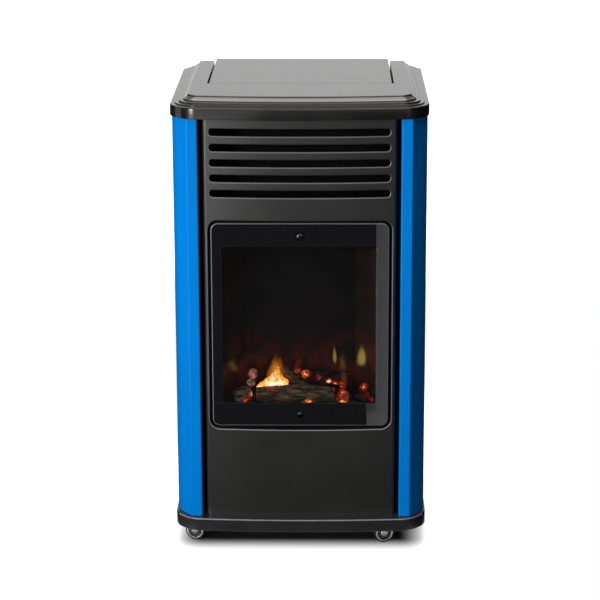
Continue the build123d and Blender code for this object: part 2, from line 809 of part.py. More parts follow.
def log(points, radii):
    """A branch: rounded sections of changing size along a bent line."""
    centres = [Vector(*point) for point in points]
    sections = []
    for index, centre in enumerate(centres):
        before = centres[max(index - 1, 0)]
        after = centres[min(index + 1, len(centres) - 1)]
        sections.append(Plane(origin=centre, z_dir=after - before) * Circle(radii[index]))
    return loft(sections)


def along(share):
    """X of a place along the burner, from -1 at its left end to 1 at its right."""
    return burner_width / 2 * share


def main_log():
    """The thick log that lies across the front of the bed."""
    size = main_log_radius
    z = log_seat + size
    nudge = log_nudge / 4
    return log(((along(-0.78), front_row, z - nudge), (along(-0.30), front_row + nudge, z),
                (along(0.28), front_row + nudge, z), (along(0.89), front_row, z - 2 * nudge)),
               (0.87 * size, size, size, 0.8 * size))


def left_log():
    """The short log on the left, its near end towards the window."""
    size = side_log_radius
    z = log_seat + size
    return log(((along(-1.17), front_row - log_nudge, z - 0.04 * size),
                (along(-1.04), front_row + log_nudge / 2, z + 0.08 * size),
                (along(-0.92), front_row + 2 * log_nudge, z + 0.08 * size)),
               (0.88 * size, size, 0.92 * size))


def right_log():
    """The short log on the right, sunk a little into the embers."""
    size = side_log_radius
    z = log_seat + 0.8 * size
    return log(((along(1.03), front_row + 0.75 * log_nudge, z + 0.08 * size), (along(1.12), front_row, z),
                (along(1.19), front_row - log_nudge, z)),
               (0.88 * size, 0.96 * size, 0.85 * size))


def branch_log():
    """The branch that leans from the back wall towards the main log."""
    y = back_row + log_nudge
    size = main_log_radius
    return log(((along(-0.35), y + log_nudge / 8, log_seat + 3.73 * size),
                (along(-0.19), y, log_seat + 2.87 * size), (along(-0.02), y, log_seat + 1.8 * size),
                (along(0.13), y, log_seat + 0.87 * size)),
               (0.47 * size, 0.57 * size, 0.6 * size, 0.57 * size))


def back_log():
    """The log that lies high behind, on the right."""
    size = main_log_radius
    z = log_seat + 2.4 * size
    y = back_row + log_nudge / 2
    return log(((along(0.26), y + log_nudge / 4, z + 0.07 * size), (along(0.59), y, z),
                (along(0.92), y - log_nudge / 2, z - 0.2 * size)),
               (0.67 * size, 0.77 * size, 0.63 * size))


def lump(x, y, z, size):
    """A rounded piece of ceramic coal."""
    coal = fillet(Box(size, size * 0.8, size * 0.7).edges(), size * 0.2)
    return Pos(x, y, z) * Rot(20, 35, 50 + 3 * x) * coal


def ember_bed(logs):
    """Ceramic ember tray with lumps of coal between the logs."""
    front = burner_middle - burner_depth / 2 - 4
    back = burner_middle + burner_depth / 2 + 5
    bed = slab(firebox_plan(-2.5), burner_top, log_seat) & block((-far, far), (front, back), (0, far))
    spots = [(along(-0.95 + 0.237 * step), front_row - 0.9 * coal_size + coal_spread * sin(2.1 * step),
              log_seat + 0.1 * coal_size) for step in range(9)]
    spots += [(along(-0.84 + 0.204 * step), back_row + coal_spread * sin(1.7 * step),
               log_seat + 0.4 * coal_size) for step in range(9)]
    for step, (x, y, z) in enumerate(spots):
        bed += lump(x, y, z, coal_size + coal_spread * sin(1.3 * step))
    bed -= block((-far, far), (-far, far), (0, burner_top))
    bed -= Pos(pilot_x, pilot_y, log_seat) * Box(pilot_width, pilot_width, 2 * (log_seat - burner_top))
    for piece in logs:
        bed -= piece
    return max(bed.solids(), key=lambda solid: solid.volume)


def pilot_burner():
    """Pilot bracket and burner at the right end of the burner."""
    low = firebox_floor
    foot_half = pilot_depth / 2
    depth = (pilot_y - foot_half, pilot_y + foot_half)
    width = (pilot_x - pilot_width / 2, pilot_x + pilot_width / 2)
    body = block(width, depth, (low, low + burner_wall))
    body += block((width[0], width[0] + burner_wall), depth, (low, low + pilot_height))
    body += block(width, depth, (low + pilot_height - burner_wall, low + pilot_height))
    body += rod((pilot_x - 2, pilot_y, low + burner_wall), (pilot_x - 2, pilot_y, low + pilot_height + 5),
                pilot_tube_radius)
    for probe_y in pilot_probes:
        body -= rod((pilot_x + 5, probe_y, low + burner_wall), (pilot_x + 5, probe_y, far), probe_radius)
    return body


def thermocouple():
    """Flame sensor rod in the pilot bracket."""
    low = firebox_floor + burner_wall + 1
    high = firebox_floor + pilot_height + 5
    body = rod((pilot_x + 5, pilot_probes[0], low), (pilot_x + 5, pilot_probes[0], high), probe_radius)
    return body + Pos(pilot_x + 5, pilot_probes[0], high) * Sphere(probe_radius)


def spark_electrode():
    """Ceramic-sleeved spark pin in the pilot bracket."""
    low = firebox_floor + burner_wall + 1
    high = firebox_floor + pilot_height + 2
    body = rod((pilot_x + 5, pilot_probes[1], low), (pilot_x + 5, pilot_probes[1], high), probe_radius)
    pin = (pilot_x + 5, pilot_probes[1])
    tip = rod((*pin, high), (*pin, high + 4), probe_radius / 2)
    return body + tip


def base_plan(wall=0.0):
    """The base's outline, drawn in by a wall."""
    cut = (base_cut_width - 0.5 * wall, base_cut_depth - 0.5 * wall)
    return cabinet_plan(base_half - wall, base_front + wall, base_back - wall, cut, lid_back_cut, base_bow,
                        base_corner_radius - wall, lid_back_corner_radius)


def base_tray():
    """Moulded base: a deck with a raised seat, a skirt, and a boss over each castor."""
    body = slab(base_plan(), base_underside, deck_top)
    body = fillet(body.edges().group_by(Axis.Z)[-1], base_edge_round)
    body += rod((0, seat_back, socket_top), (0, seat_back, deck_top + seat_rise), seat_radius)
    body -= slab(base_plan(base_wall), base_underside, socket_top)
    for x, y in castor_spots:
        boss = rod((x, y, socket_low), (x, y, socket_top), socket_radius + boss_wall)
        body += boss - rod((x, y, socket_low - 1), (x, y, socket_top), socket_radius)
    for x in (-rib_offset, rib_offset):
        width = (x - rib_thickness / 2, x + rib_thickness / 2)
        depth = (base_front + rib_inset, base_back - rib_inset)
        body += block(width, depth, (socket_top - rib_drop, socket_top))
    return body


def castor_sockets():
    """Steel sleeves pressed into the base, in which the castor stems turn."""
    sleeves = []
    for x, y in castor_spots:
        sleeve = rod((x, y, socket_low), (x, y, socket_top), socket_radius)
        sleeves.append(sleeve - rod((x, y, socket_low - 1), (x, y, stem_stop), stem_radius + running_gap))
    return Compound(children=sleeves)


def castor_place(spot, swivel):
    """Where a castor stands, and which way it trails."""
    x, y = spot
    return Pos(x, y, 0) * Rot(0, 0, -swivel)


def castor_body():
    """Moulded fork between the wheels, with the swivel head above it."""
    web = Plane(origin=(0, castor_web / 2, 0), x_dir=(1, 0, 0), z_dir=(0, -1, 0)) * make_hull(
        (Pos(-castor_trail, wheel_radius) * Circle(9)).edges() +
        (Pos(0, head_low - 2) * Rectangle(2 * stem_radius + 8, 4)).edges())
    body = extrude(web, amount=castor_web)
    body += rod((0, 0, head_low), (0, 0, head_top), stem_radius + castor_head_wall)
    body -= rod((-castor_trail, -far, wheel_radius), (-castor_trail, far, wheel_radius), axle_radius)
    body -= rod((0, 0, head_low - 1), (0, 0, head_top + 1), stem_radius)
    return body


def castor_pins():
    """The castor's stem and its axle, both steel."""
    stem = rod((0, 0, head_low), (0, 0, stem_stop - castor_headroom), stem_radius)
    half = castor_web / 2 + wheel_gap + wheel_width - wheel_dish - castor_headroom
    axle = rod((-castor_trail, -half, wheel_radius), (-castor_trail, half, wheel_radius), axle_radius)
    return stem, axle


def castor_wheels():
    """Twin wheels, each with a dished face that takes its trim."""
    wheels = []
    for side in (-1, 1):
        near = side * (castor_web / 2 + wheel_gap)
        outer = near + side * wheel_width
        wheel = rod((-castor_trail, near, wheel_radius), (-castor_trail, outer, wheel_radius), wheel_radius)
        wheel = fillet(wheel.edges().filter_by(GeomType.CIRCLE), 2)
        wheel -= rod((-castor_trail, outer - side * wheel_dish, wheel_radius),
                     (-castor_trail, outer + side, wheel_radius), wheel_radius - tyre_width)
        wheel -= rod((-castor_trail, near - side, wheel_radius), (-castor_trail, outer + side, wheel_radius),
                     axle_radius + running_gap)
        wheels.append(wheel)
    return wheels


def castor_trims():
    """Bright ring and domed cap in the face of each wheel."""
    pieces = []
    for side in (-1, 1):
        face = side * (castor_web / 2 + wheel_gap + wheel_width - wheel_dish)
        outer = wheel_radius - tyre_width
        start = (-castor_trail, face, wheel_radius)
        ring = rod(start, (-castor_trail, face + side * trim_ring_height, wheel_radius), outer)
        hole_end = (-castor_trail, face + side * 2 * trim_ring_height, wheel_radius)
        ring -= rod((-castor_trail, face - side, wheel_radius), hole_end, outer - trim_ring_width)
        cap = rod(start, (-castor_trail, face + side * trim_cap_height, wheel_radius), trim_cap_radius)
        rims = cap.edges().filter_by(GeomType.CIRCLE).sort_by(Axis.Y)
        cap = fillet(rims[-1] if side > 0 else rims[0], trim_ring_width)
        pieces += [ring, cap]
    return pieces


def save_castor(name, spot, swivel):
    """Write one castor: body, pins, wheels and trims."""
    place = castor_place(spot, swivel)
    save(f"{name}_body", place * castor_body())
    save(f"{name}_pins", Compound(children=[place * piece for piece in castor_pins()]))
    save(f"{name}_wheels", Compound(children=[place * piece for piece in castor_wheels()]))
    save(f"{name}_trims", Compound(children=[place * piece for piece in castor_trims()]))


def rear_cover():
    """Lift-off back cover: a shallow pressed tray with two groups of vents and two hooks."""
    half = cover_width / 2
    high = cover_bottom + cover_height
    inner = half - cover_border
    tray = block((-half, half), (cover_plane, cover_plane + sheet), (cover_bottom, high))
    tray += block((-inner, inner), (cover_plane, cover_plane + cover_bulge),
                  (cover_bottom + cover_border, high - cover_border))
    tray -= block((-inner + sheet, inner - sheet), (cover_plane - 1, cover_plane + cover_bulge - sheet),
                  (cover_bottom + cover_border + sheet, high - cover_border - sheet))
    group_height = cover_slot_pitch * (cover_slot_rows - 1)
    for group_low in (cover_bottom + vent_inset, high - vent_inset - group_height):
        for row in range(cover_slot_rows):
            for column in (-1, 0, 1):
                tray -= front_cutter(cover_slot_width, cover_slot_height, vent_corner,
                                     group_low + row * cover_slot_pitch, 0, lid_depth,
                                     x=column * (cover_slot_width + vent_spacing))
    hook_z = (cover_bottom + hook_inset, high - hook_inset)
    inner_edge = side_half - side_back_flange - seat_gap
    hook_front = side_back - sheet - seat_gap - sheet
    for side in (-1, 1):
        for z in hook_z:
            low, top = sorted((side * inner_edge, side * (inner_edge - sheet)))
            height = (z - hook_height / 2, z + hook_height / 2)
            tray += block((low, top), (hook_front, cover_plane), height)
            low, top = sorted((side * (inner_edge - sheet), side * (inner_edge + hook_reach)))
            tray += block((low, top), (hook_front, hook_front + sheet), height)
    return tray


def back_rail():
    """Cross rail between the side panels, above the rear cover."""
    low = lid_bottom - back_rail_height
    y = side_back - sheet
    half = side_half - side_back_radius
    rail = block((-half, half), (y - sheet, y), (low, lid_bottom - seat_gap))
    rail += block((-half, half), (y - rail_foot, y), (low, low + sheet))
    for x, z in back_screw_spots():
        rail -= rod((x, y - rail_foot, z), (x, y + 1, z), screw_shank_radius)
    return rail


def back_screw_spots():
    """Where screws hold the back rail and the side panels together."""
    x = side_half - side_back_flange / 2
    middle = lid_bottom - back_rail_height / 2
    return [(side, middle + rise) for side in (-x, x) for rise in (screw_spread, -screw_spread)]


def back_screws():
    """Screws that hold the side panels to the back rail."""
    screws = []
    for x, z in back_screw_spots():
        head = rod((x, side_back, z), (x, side_back + screw_head_height, z), screw_head_radius)
        head = fillet(head.edges().sort_by(Axis.Y)[-1], 1.2)
        screws.append(head + rod((x, side_back - screw_shank, z), (x, side_back, z), screw_shank_radius))
    return Compound(children=screws)


def main():
    """Build every sub-part and write it."""
    os.makedirs("parts", exist_ok=True)
    save("base_tray", base_tray())
    save("castor_sockets", castor_sockets())
    swivels = (front_left_swivel, front_right_swivel, back_left_swivel, back_right_swivel)
    names = ("castor_front_left", "castor_front_right", "castor_back_left", "castor_back_right")
    for name, spot, swivel in zip(names, castor_spots, swivels):
        save_castor(name, spot, swivel)
    drilled = back_screw_spots()
    for side, name in ((-1, "side_panel_left"), (1, "side_panel_right")):
        panel = side_panel(side)
        for x, z in drilled:
            panel -= rod((x, 0, z), (x, lid_depth, z), screw_shank_radius)
        save(name, panel)
    save("front_frame", front_frame())
    save("front_panel", front_panel())
    save("glass_window", glass_window())
    save("window_gasket", window_gasket())
    save("window_frame", window_frame())
    save("window_screws", window_screws())
    save("firebox_floor", firebox_floor_plate())
    save("firebox_back", firebox_back_wall())
    save("firebox_cheek_left", firebox_cheek(-1))
    save("firebox_cheek_right", firebox_cheek(1))
    save("firebox_baffle", firebox_baffle())
    save("heat_deflector", heat_deflector())
    save("bulkhead", bulkhead_plate())
    save("burner_tray", burner_tray())
    logs = {"main_log": main_log(), "left_log": left_log(), "right_log": right_log(),
            "branch_log": branch_log(), "back_log": back_log()}
    for name, shape in logs.items():
        save(name, shape)
    save("ember_bed", ember_bed(logs.values()))
    save("pilot_burner", pilot_burner())
    save("thermocouple", thermocouple())
    save("spark_electrode", spark_electrode())
    save("top_lid", top_lid())
    save("control_well", control_well())
    save("control_fascia", control_fascia())
    save("control_flap", control_flap())
    save("flap_hinge_pins", flap_hinge_pins())
    save("gas_valve", gas_valve())
    save("valve_spindle", valve_spindle())
    save("control_knob", control_knob())
    save("igniter_body", igniter_body())
    save("igniter_button", igniter_button())
    save("hose_tail", hose_tail())
    save("gas_pipe", gas_pipe())
    save("burner_injector", burner_injector())
    save("back_rail", back_rail())
    save("back_screws", back_screws())
    save("rear_cover", rear_cover())


main()
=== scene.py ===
import json
from math import cos, hypot, pi, radians, sin, sqrt, tan

import bmesh
import bpy
from mathutils import Matrix, Vector, noise

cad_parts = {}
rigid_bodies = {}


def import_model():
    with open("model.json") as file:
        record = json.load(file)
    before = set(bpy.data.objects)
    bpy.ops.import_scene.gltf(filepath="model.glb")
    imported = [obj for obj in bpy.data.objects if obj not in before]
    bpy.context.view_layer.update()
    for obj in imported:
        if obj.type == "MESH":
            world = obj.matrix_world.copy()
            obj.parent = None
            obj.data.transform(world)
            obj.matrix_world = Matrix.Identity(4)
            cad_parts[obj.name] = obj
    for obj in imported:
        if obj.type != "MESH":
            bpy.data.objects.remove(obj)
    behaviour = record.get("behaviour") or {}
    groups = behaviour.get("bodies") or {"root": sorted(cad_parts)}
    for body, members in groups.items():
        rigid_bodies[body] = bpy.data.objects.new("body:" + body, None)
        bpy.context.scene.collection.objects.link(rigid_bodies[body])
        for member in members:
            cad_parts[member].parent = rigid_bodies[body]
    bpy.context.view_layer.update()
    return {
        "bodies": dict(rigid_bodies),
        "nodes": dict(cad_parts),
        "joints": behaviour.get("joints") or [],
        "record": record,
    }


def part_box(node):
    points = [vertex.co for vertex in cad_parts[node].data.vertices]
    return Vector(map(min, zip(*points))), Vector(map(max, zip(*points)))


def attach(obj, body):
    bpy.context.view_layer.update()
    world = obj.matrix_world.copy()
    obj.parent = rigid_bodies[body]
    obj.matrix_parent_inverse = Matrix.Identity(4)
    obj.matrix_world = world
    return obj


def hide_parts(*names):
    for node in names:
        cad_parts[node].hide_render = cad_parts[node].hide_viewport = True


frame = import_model()
nodes = frame["nodes"]
mm = 0.001  # shapes are drawn in millimetres and turned to metres when a piece is made
sides = (-1, 1)


def hexLinear(code):  # sRGB hex to the linear colour that Blender wants
    parts = [int(code[i:i + 2], 16) / 255 for i in (0, 2, 4)]
    return [p / 12.92 if p <= 0.04045 else ((p + 0.055) / 1.055) ** 2.4 for p in parts] + [1.0]


def setInputs(tree, node, inputs):  # a node stands for its first output
    for name, value in inputs.items():
        if isinstance(value, bpy.types.Node):
            value = value.outputs[0]
        if isinstance(value, bpy.types.NodeSocket):
            tree.links.new(value, node.inputs[name])
        else:
            node.inputs[name].default_value = value


def addNode(tree, kind, inputs=None, stops=None, **settings):
    node = tree.nodes.new("ShaderNode" + kind)
    for name, value in settings.items():
        setattr(node, name, value)
    setInputs(tree, node, inputs or {})
    if stops:  # a ramp's colours: (place, hex)
        ramp = node.color_ramp.elements
        while len(ramp) < len(stops):
            ramp.new(0.5)
        for stop, (place, code) in zip(ramp, stops):
            stop.position = place
            stop.color = hexLinear(code)
    return node


def perMm(size):  # a texture scale whose features are about this many millimetres
    return 1 / (size * mm)


def twoTones(tones):
    return list(zip((0.3, 0.7), tones.split()))


def startFinish(name, sockets):
    material = bpy.data.materials.new(name)
    material.use_nodes = True
    tree = material.node_tree
    shader = tree.nodes["Principled BSDF"]
    setInputs(tree, shader, sockets)
    return material, tree, shader, addNode(tree, "TexCoord").outputs["Object"]


def addObject(name, data):
    thing = bpy.data.objects.new(name, data)
    bpy.context.scene.collection.objects.link(thing)
    return thing


def toMesh(name, bm):
    mesh = bpy.data.meshes.new(name)
    bm.to_mesh(mesh)
    bm.free()
    return mesh


def roundEdges(bm, geom, offset, steps, affect="EDGES"):
    return bmesh.ops.bevel(bm, geom=geom, offset=offset, offset_type="OFFSET", segments=steps, profile=0.5,
                           affect=affect, material=-1)


def sharpEdges(bm, least, wanted):  # edges that turn by more than least, where wanted holds for both ends
    return [e for e in bm.edges if len(e.link_faces) == 2 and e.calc_face_angle(0) > least
            and all(wanted(v.co) for v in e.verts)]


def roundedLoop(corners, radii, steps=5, bows=(), cuts=24):
    # a closed outline from its corners, each rounded by its radius; bows are (first corner, depth towards -Y)
    shape = bmesh.new()
    shape.faces.new([shape.verts.new((x, y, 0)) for x, y in corners])

    def vertAt(corner):
        return min(shape.verts, key=lambda v: hypot(v.co.x - corner[0], v.co.y - corner[1]))

    for first, depth in bows:
        a, b = corners[first], corners[(first + 1) % len(corners)]
        half, start = abs(b[0] - a[0]) / 2, a[1]
        edge = shape.edges.get((vertAt(a), vertAt(b)))
        made = bmesh.ops.subdivide_edges(shape, edges=[edge], cuts=cuts)
        arc = (half ** 2 + depth ** 2) / (2 * depth)
        for v in made["geom_inner"]:
            if isinstance(v, bmesh.types.BMVert):
                v.co.y = start - (sqrt(arc ** 2 - v.co.x ** 2) - (arc - depth))
    for corner, radius in zip(corners, radii):
        if radius:
            vert = vertAt(corner)
            a, b = [edge.other_vert(vert).co - vert.co for edge in vert.link_edges]
            roundEdges(shape, [vert], radius / tan(a.angle(b) / 2), steps, "VERTICES")
    shape.faces.ensure_lookup_table()
    points = [(v.co.x, v.co.y) for v in shape.faces[0].verts]
    shape.free()
    return points


def roundedBox(width, height, x, y, radius, steps=5):
    half, tall = width / 2, height / 2
    return roundedLoop([(x - half, y - tall), (x + half, y - tall), (x + half, y + tall), (x - half, y + tall)],
                       [radius] * 4, steps)


def lie(point, level, axis):  # a flat point and its level, along one of the three axes
    u, v = point
    return {"z": (u, v, level), "y": (u, level, v), "x": (level, u, v)}[axis]


def stackRings(bm, rings, closeRound=False):
    for low, high in zip(rings, rings[1:]):
        bmesh.ops.bridge_loops(bm, edges=low + high)
    if closeRound:
        bmesh.ops.bridge_loops(bm, edges=rings[-1] + rings[0])
    else:
        bmesh.ops.contextual_create(bm, geom=rings[0])
        bmesh.ops.contextual_create(bm, geom=rings[-1])


def stackLoops(bm, loops, axis="z", closeRound=False):  # outlines, each with its level, joined to one skin
    rings = []
    for points, level in loops:
        verts = [bm.verts.new(lie(p, level(p) if callable(level) else level, axis)) for p in points]
        rings.append([bm.edges.new((verts[i - 1], verts[i])) for i in range(len(verts))])
    stackRings(bm, rings, closeRound)


def addPrism(bm, points, low, high, axis="z", edge=0.0, steps=2):
    # an outline given its thickness, with its two rims rounded
    start = [bm.verts.new(lie(p, low, axis)) for p in points]
    grown = bmesh.ops.extrude_face_region(bm, geom=[bm.faces.new(start)], use_keep_orig=True)["geom"]
    end = [g for g in grown if isinstance(g, bmesh.types.BMVert)]
    bmesh.ops.translate(bm, vec=Vector(lie((0, 0), high - low, axis)), verts=end)
    if edge:
        rims = (set(start), set(end))
        roundEdges(bm, [e for e in bm.edges if any(set(e.verts) <= rim for rim in rims)], edge, steps)


def addBlock(bm, x, y, z, edge=0.0):  # a box between pairs of limits, in either order
    spans = [sorted(pair) for pair in (x, y, z)]
    made = bmesh.ops.create_cube(bm, size=1)["verts"]
    bmesh.ops.scale(bm, vec=[high - low for low, high in spans], verts=made)
    bmesh.ops.translate(bm, vec=[(low + high) / 2 for low, high in spans], verts=made)
    if edge:
        roundEdges(bm, list({e for v in made for e in v.link_edges}), edge, 2)


def addTurned(bm, profile, centre, direction=(0, 0, 1), steps=32):
    # a profile of (radius, height) turned about an axis through centre
    turn = Vector((0, 0, 1)).rotation_difference(Vector(direction)).to_matrix().to_4x4()
    place = Matrix.Translation(centre) @ turn
    verts = [bm.verts.new(place @ Vector((r, 0, h))) for r, h in profile]
    edges = [bm.edges.new(pair) for pair in zip(verts, verts[1:])]
    bmesh.ops.spin(bm, geom=verts + edges, cent=centre, axis=Vector(direction), dvec=(0, 0, 0),
                   angle=2 * pi, steps=steps, use_merge=True)
    bmesh.ops.remove_doubles(bm, verts=bm.verts[:], dist=1e-4)


def thickPath(corners, radii, thickness):
    # a folded sheet in plan: the path, and the same path offset to its right
    points = [Vector(corner) for corner in corners]
    runs = [b - a for a, b in zip(points, points[1:])]
    offsets, inner = [], []
    for i, (here, radius) in enumerate(zip(points, radii)):
        ways = [run.normalized() for run in runs[max(i - 1, 0):i + 1]]
        normals = [Vector((way.y, -way.x)) for way in ways]
        middle = sum(normals, Vector((0, 0))).normalized()
        offsets.append(tuple(here + middle * (thickness / middle.dot(normals[0]))))
        if radius:
            a, b = runs[i - 1:i + 1]
            turnsRight = a.x * b.y - a.y * b.x < 0
            radius = max(radius - thickness, 0.2) if turnsRight else radius + thickness
        inner.append(radius)
    return list(corners) + offsets[::-1], list(radii) + inner[::-1]


def cutAway(body, cutter):
    made = []
    for shape in (body, cutter):
        bmesh.ops.recalc_face_normals(shape, faces=shape.faces)
        made.append(addObject("cutting", toMesh("cutting", shape)))
    cut = made[0].modifiers.new("cut", "BOOLEAN")
    cut.object, cut.solver = made[1], "EXACT"
    result = bmesh.new()
    result.from_object(made[0], bpy.context.evaluated_depsgraph_get())
    for thing in made:
        mesh = thing.data
        bpy.data.objects.remove(thing)
        bpy.data.meshes.remove(mesh)
    return result


def makePiece(name, bm, looks, stands="", body="cabinet", smooth=34, weighted=False):
    bmesh.ops.recalc_face_normals(bm, faces=bm.faces)
    bmesh.ops.scale(bm, vec=(mm, mm, mm), verts=bm.verts)
    mesh = toMesh(name, bm)
    mesh.shade_smooth()
    mesh.set_sharp_from_angle(angle=radians(smooth))
    for look in looks.split():
        mesh.materials.append(finish[look])
    piece = addObject(name, mesh)
    if weighted:
        even = piece.modifiers.new("even shading", "WEIGHTED_NORMAL")
        even.keep_sharp = True
        even.weight = 100
    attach(piece, body)
    if stands:
        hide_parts(*stands.split())
    return piece


camera = dict(lens=131.89, sensor=36, pitch=14.790, yaw=0.830, roll=-0.179, place=(49.63, -3664.4, 1384.75),
              shift=(0.00106, -0.03), reach=60)
# the floor's colours: a dark grey painted shadow under the heater, then the white paper; shade says where it fades
studio = dict(world=0.42, floor=("262626", "f4f4f4"), floorHalf=14, mirrored=0.55, foot=(0.168, 0.135),
              shade=(0.0, 0.075),
              lamps={"key softbox": (32, (0.75, 1.3), (-1.6, -2.25, 0.95)),
                     "strip light": (24, (0.32, 1.2), (-1.62, -2.22, 0.9)),
                     "top softbox": (62, (1.8, 2.4), (-0.1, 0.55, 2.55))},
              felt="1c1c1e 222224", cardHeight=1.3,
              lyingCards=[(0.02, [(-0.9, -0.23), (1.4, -0.23), (1.4, -0.66), (-0.9, -0.66)]),  # level, corners
                          (0.021, [(-0.5, -0.66), (0.121, -0.66), (0.121, -0.893), (-0.45, -0.893)]),
                          (0.022, [(-0.45, -0.893), (0.141, -0.893), (0.249, -6.0), (-0.6, -6.0)]),
                          (0.021, [(0.172, -0.66), (2.6, -0.66), (2.6, -6.0), (0.36, -6.0)]),
                          (0.02, [(0.24, -0.23), (0.24, 1.6), (0.7, 1.6), (0.7, -0.23)]),
                          (0.02, [(-0.95, -0.23), (-0.95, 1.6), (-0.24, 1.6), (-0.24, -0.23)])],
              standingCards=[(0.7, -0.7, 2.2), (-0.95, -0.28, -0.85), (-0.95, -0.04, 2.2)])  # x, then y from and to


def buildCamera():
    lensData = bpy.data.cameras.new("photo camera")
    lensData.lens, lensData.sensor_width, lensData.clip_end = camera["lens"], camera["sensor"], camera["reach"]
    lensData.shift_x, lensData.shift_y = camera["shift"]
    eye = addObject("photo camera", lensData)
    pose = Matrix.Translation(Vector(camera["place"]) * mm)
    for angle, axis in ((camera["yaw"], "Z"), (90 - camera["pitch"], "X"), (camera["roll"], "Z")):
        pose = pose @ Matrix.Rotation(radians(angle), 4, axis)
    eye.matrix_world = pose
    bpy.context.scene.camera = eye
    bpy.context.scene.view_settings.view_transform = "Standard"


def buildLights():
    for name, (power, size, place) in studio["lamps"].items():
        lampData = bpy.data.lights.new(name, "AREA")
        lampData.shape = "RECTANGLE"
        lampData.size, lampData.size_y = size
        lampData.energy = power
        lamp = addObject(name, lampData)
        lamp.location = place
        target = (0, 0, place[2]) if place[2] < 1 else (place[0], place[1], 0)
        lamp.rotation_euler = (Vector(target) - Vector(place)).to_track_quat("-Z", "Y").to_euler()
    world = bpy.data.worlds.new("pale studio")
    bpy.context.scene.world = world
    world.use_nodes = True
    sky = world.node_tree
    rays = addNode(sky, "LightPath").outputs
    seen = addNode(sky, "Math", {0: rays["Is Camera Ray"], 1: rays["Is Glossy Ray"]}, operation="MAXIMUM")
    plain = addNode(sky, "Math", {0: seen, 1: rays["Is Transmission Ray"]}, operation="MAXIMUM")
    level = addNode(sky, "MapRange", {"Value": plain, "To Min": studio["world"], "To Max": 1.0})
    setInputs(sky, sky.nodes["Background"], {"Color": hexLinear("ffffff"), "Strength": level})


def buildFloor():
    shape = bmesh.new()
    bmesh.ops.create_grid(shape, x_segments=8, y_segments=8, size=studio["floorHalf"])
    floor = addObject("studio floor", toMesh("studio floor", shape))
    paper, tree, shader, place = startFinish("whitePaperWithPaintedShadow", {"Roughness": 0.6, "Specular IOR Level": 0.2})
    rays = addNode(tree, "LightPath").outputs  # white away from the heater; near it the paper is darkened to a painted shadow, on top of the shadow it casts
    dimmed = addNode(tree, "Math", {0: rays["Is Glossy Ray"], 1: studio["mirrored"]}, operation="MULTIPLY")
    seen = addNode(tree, "Math", {0: rays["Is Camera Ray"], 1: dimmed}, operation="MAXIMUM")
    size = addNode(tree, "VectorMath", {0: place}, operation="ABSOLUTE")
    past = addNode(tree, "VectorMath", {0: size, 1: (*studio["foot"], 0)}, operation="SUBTRACT")
    out = addNode(tree, "VectorMath", {0: past, 1: (0, 0, 0)}, operation="MAXIMUM")
    away = addNode(tree, "VectorMath", {0: out}, operation="LENGTH").outputs["Value"]
    start, end = studio["shade"]
    clear = addNode(tree, "MapRange", {"Value": away, "From Min": start, "From Max": end},
                    interpolation_type="SMOOTHSTEP")
    # painted shadow: the paper's colour turns from white to dark grey near the heater, and its glow for the camera
    # fades there too
    colour = addNode(tree, "ValToRGB", {"Fac": clear}, stops=list(zip((0.0, 0.8), studio["floor"])))
    lift = addNode(tree, "Math", {0: seen, 1: clear}, operation="MULTIPLY")
    setInputs(tree, shader, {"Base Color": colour, "Emission Color": hexLinear("ffffff"), "Emission Strength": lift})
    floor.data.materials.append(paper)


def buildCards():  # black cards out of view, that keep the glass and the enamel from mirroring white
    quads = [[(x, y, level) for x, y in corners] for level, corners in studio["lyingCards"]]
    for x, start, end in studio["standingCards"]:
        top = studio["cardHeight"]
        quads.append([(x, start, 0), (x, end, 0), (x, end, top), (x, start, top)])
    shape = bmesh.new()
    for corners in quads:
        shape.faces.new([shape.verts.new(corner) for corner in corners])
    card = addObject("black cards", toMesh("black cards", shape))
    felt, tree, shader, place = startFinish("blackFelt", {"Roughness": 0.95, "Specular IOR Level": 0.1})
    nap = addNode(tree, "TexNoise", {"Vector": place, "Scale": perMm(30)})
    setInputs(tree, shader, {"Base Color": addNode(tree, "ValToRGB", {"Fac": nap}, twoTones(studio["felt"]))})
    card.data.materials.append(felt)
    card.visible_camera = False


def makeCoat(name, tones, roughness, sizes, **more):
    # paint, moulding or glass: a tone that drifts, and a fine grain that breaks the highlight
    sizes = {"toneDetail": 2.0, "grainDetail": 2.0, "depth": 0.0002, **sizes}
    material, tree, shader, place = startFinish(name, {"Roughness": roughness, "IOR": 1.5, **more})
    tone = addNode(tree, "TexNoise", {"Vector": place, "Scale": perMm(sizes["tone"]),
                                      "Detail": sizes["toneDetail"]})
    setInputs(tree, shader, {"Base Color": addNode(tree, "ValToRGB", {"Fac": tone}, twoTones(tones))})
    if "grain" in sizes:
        grain = addNode(tree, "TexNoise", {"Vector": place, "Scale": perMm(sizes["grain"]),
                                           "Detail": sizes["grainDetail"]})
        setInputs(tree, shader, {"Normal": addNode(tree, "Bump", {
            "Height": grain, "Strength": sizes["strength"], "Distance": sizes["depth"]})})
    if "sheen" in sizes:  # the gloss drifts with the tone
        low, high = sizes["sheen"]
        gloss = addNode(tree, "MapRange", {"Value": tone, "To Min": low, "To Max": high})
        setInputs(tree, shader, {"Roughness": gloss})
    return material


def makeRopeSeal():
    material, tree, shader, place = startFinish("wovenGlassFibre", {"Roughness": 0.9, "IOR": 1.45})
    weave = addNode(tree, "TexWave", {"Vector": place, "Scale": perMm(2) / 20, "Distortion": 2.0},
                    bands_direction="DIAGONAL").outputs["Fac"]
    colour = addNode(tree, "ValToRGB", {"Fac": weave}, [(0.2, "6b675f"), (0.8, "a39d92")])
    bump = addNode(tree, "Bump", {"Height": weave, "Strength": 0.5, "Distance": 0.0005})
    setInputs(tree, shader, {"Base Color": colour, "Normal": bump})
    return material


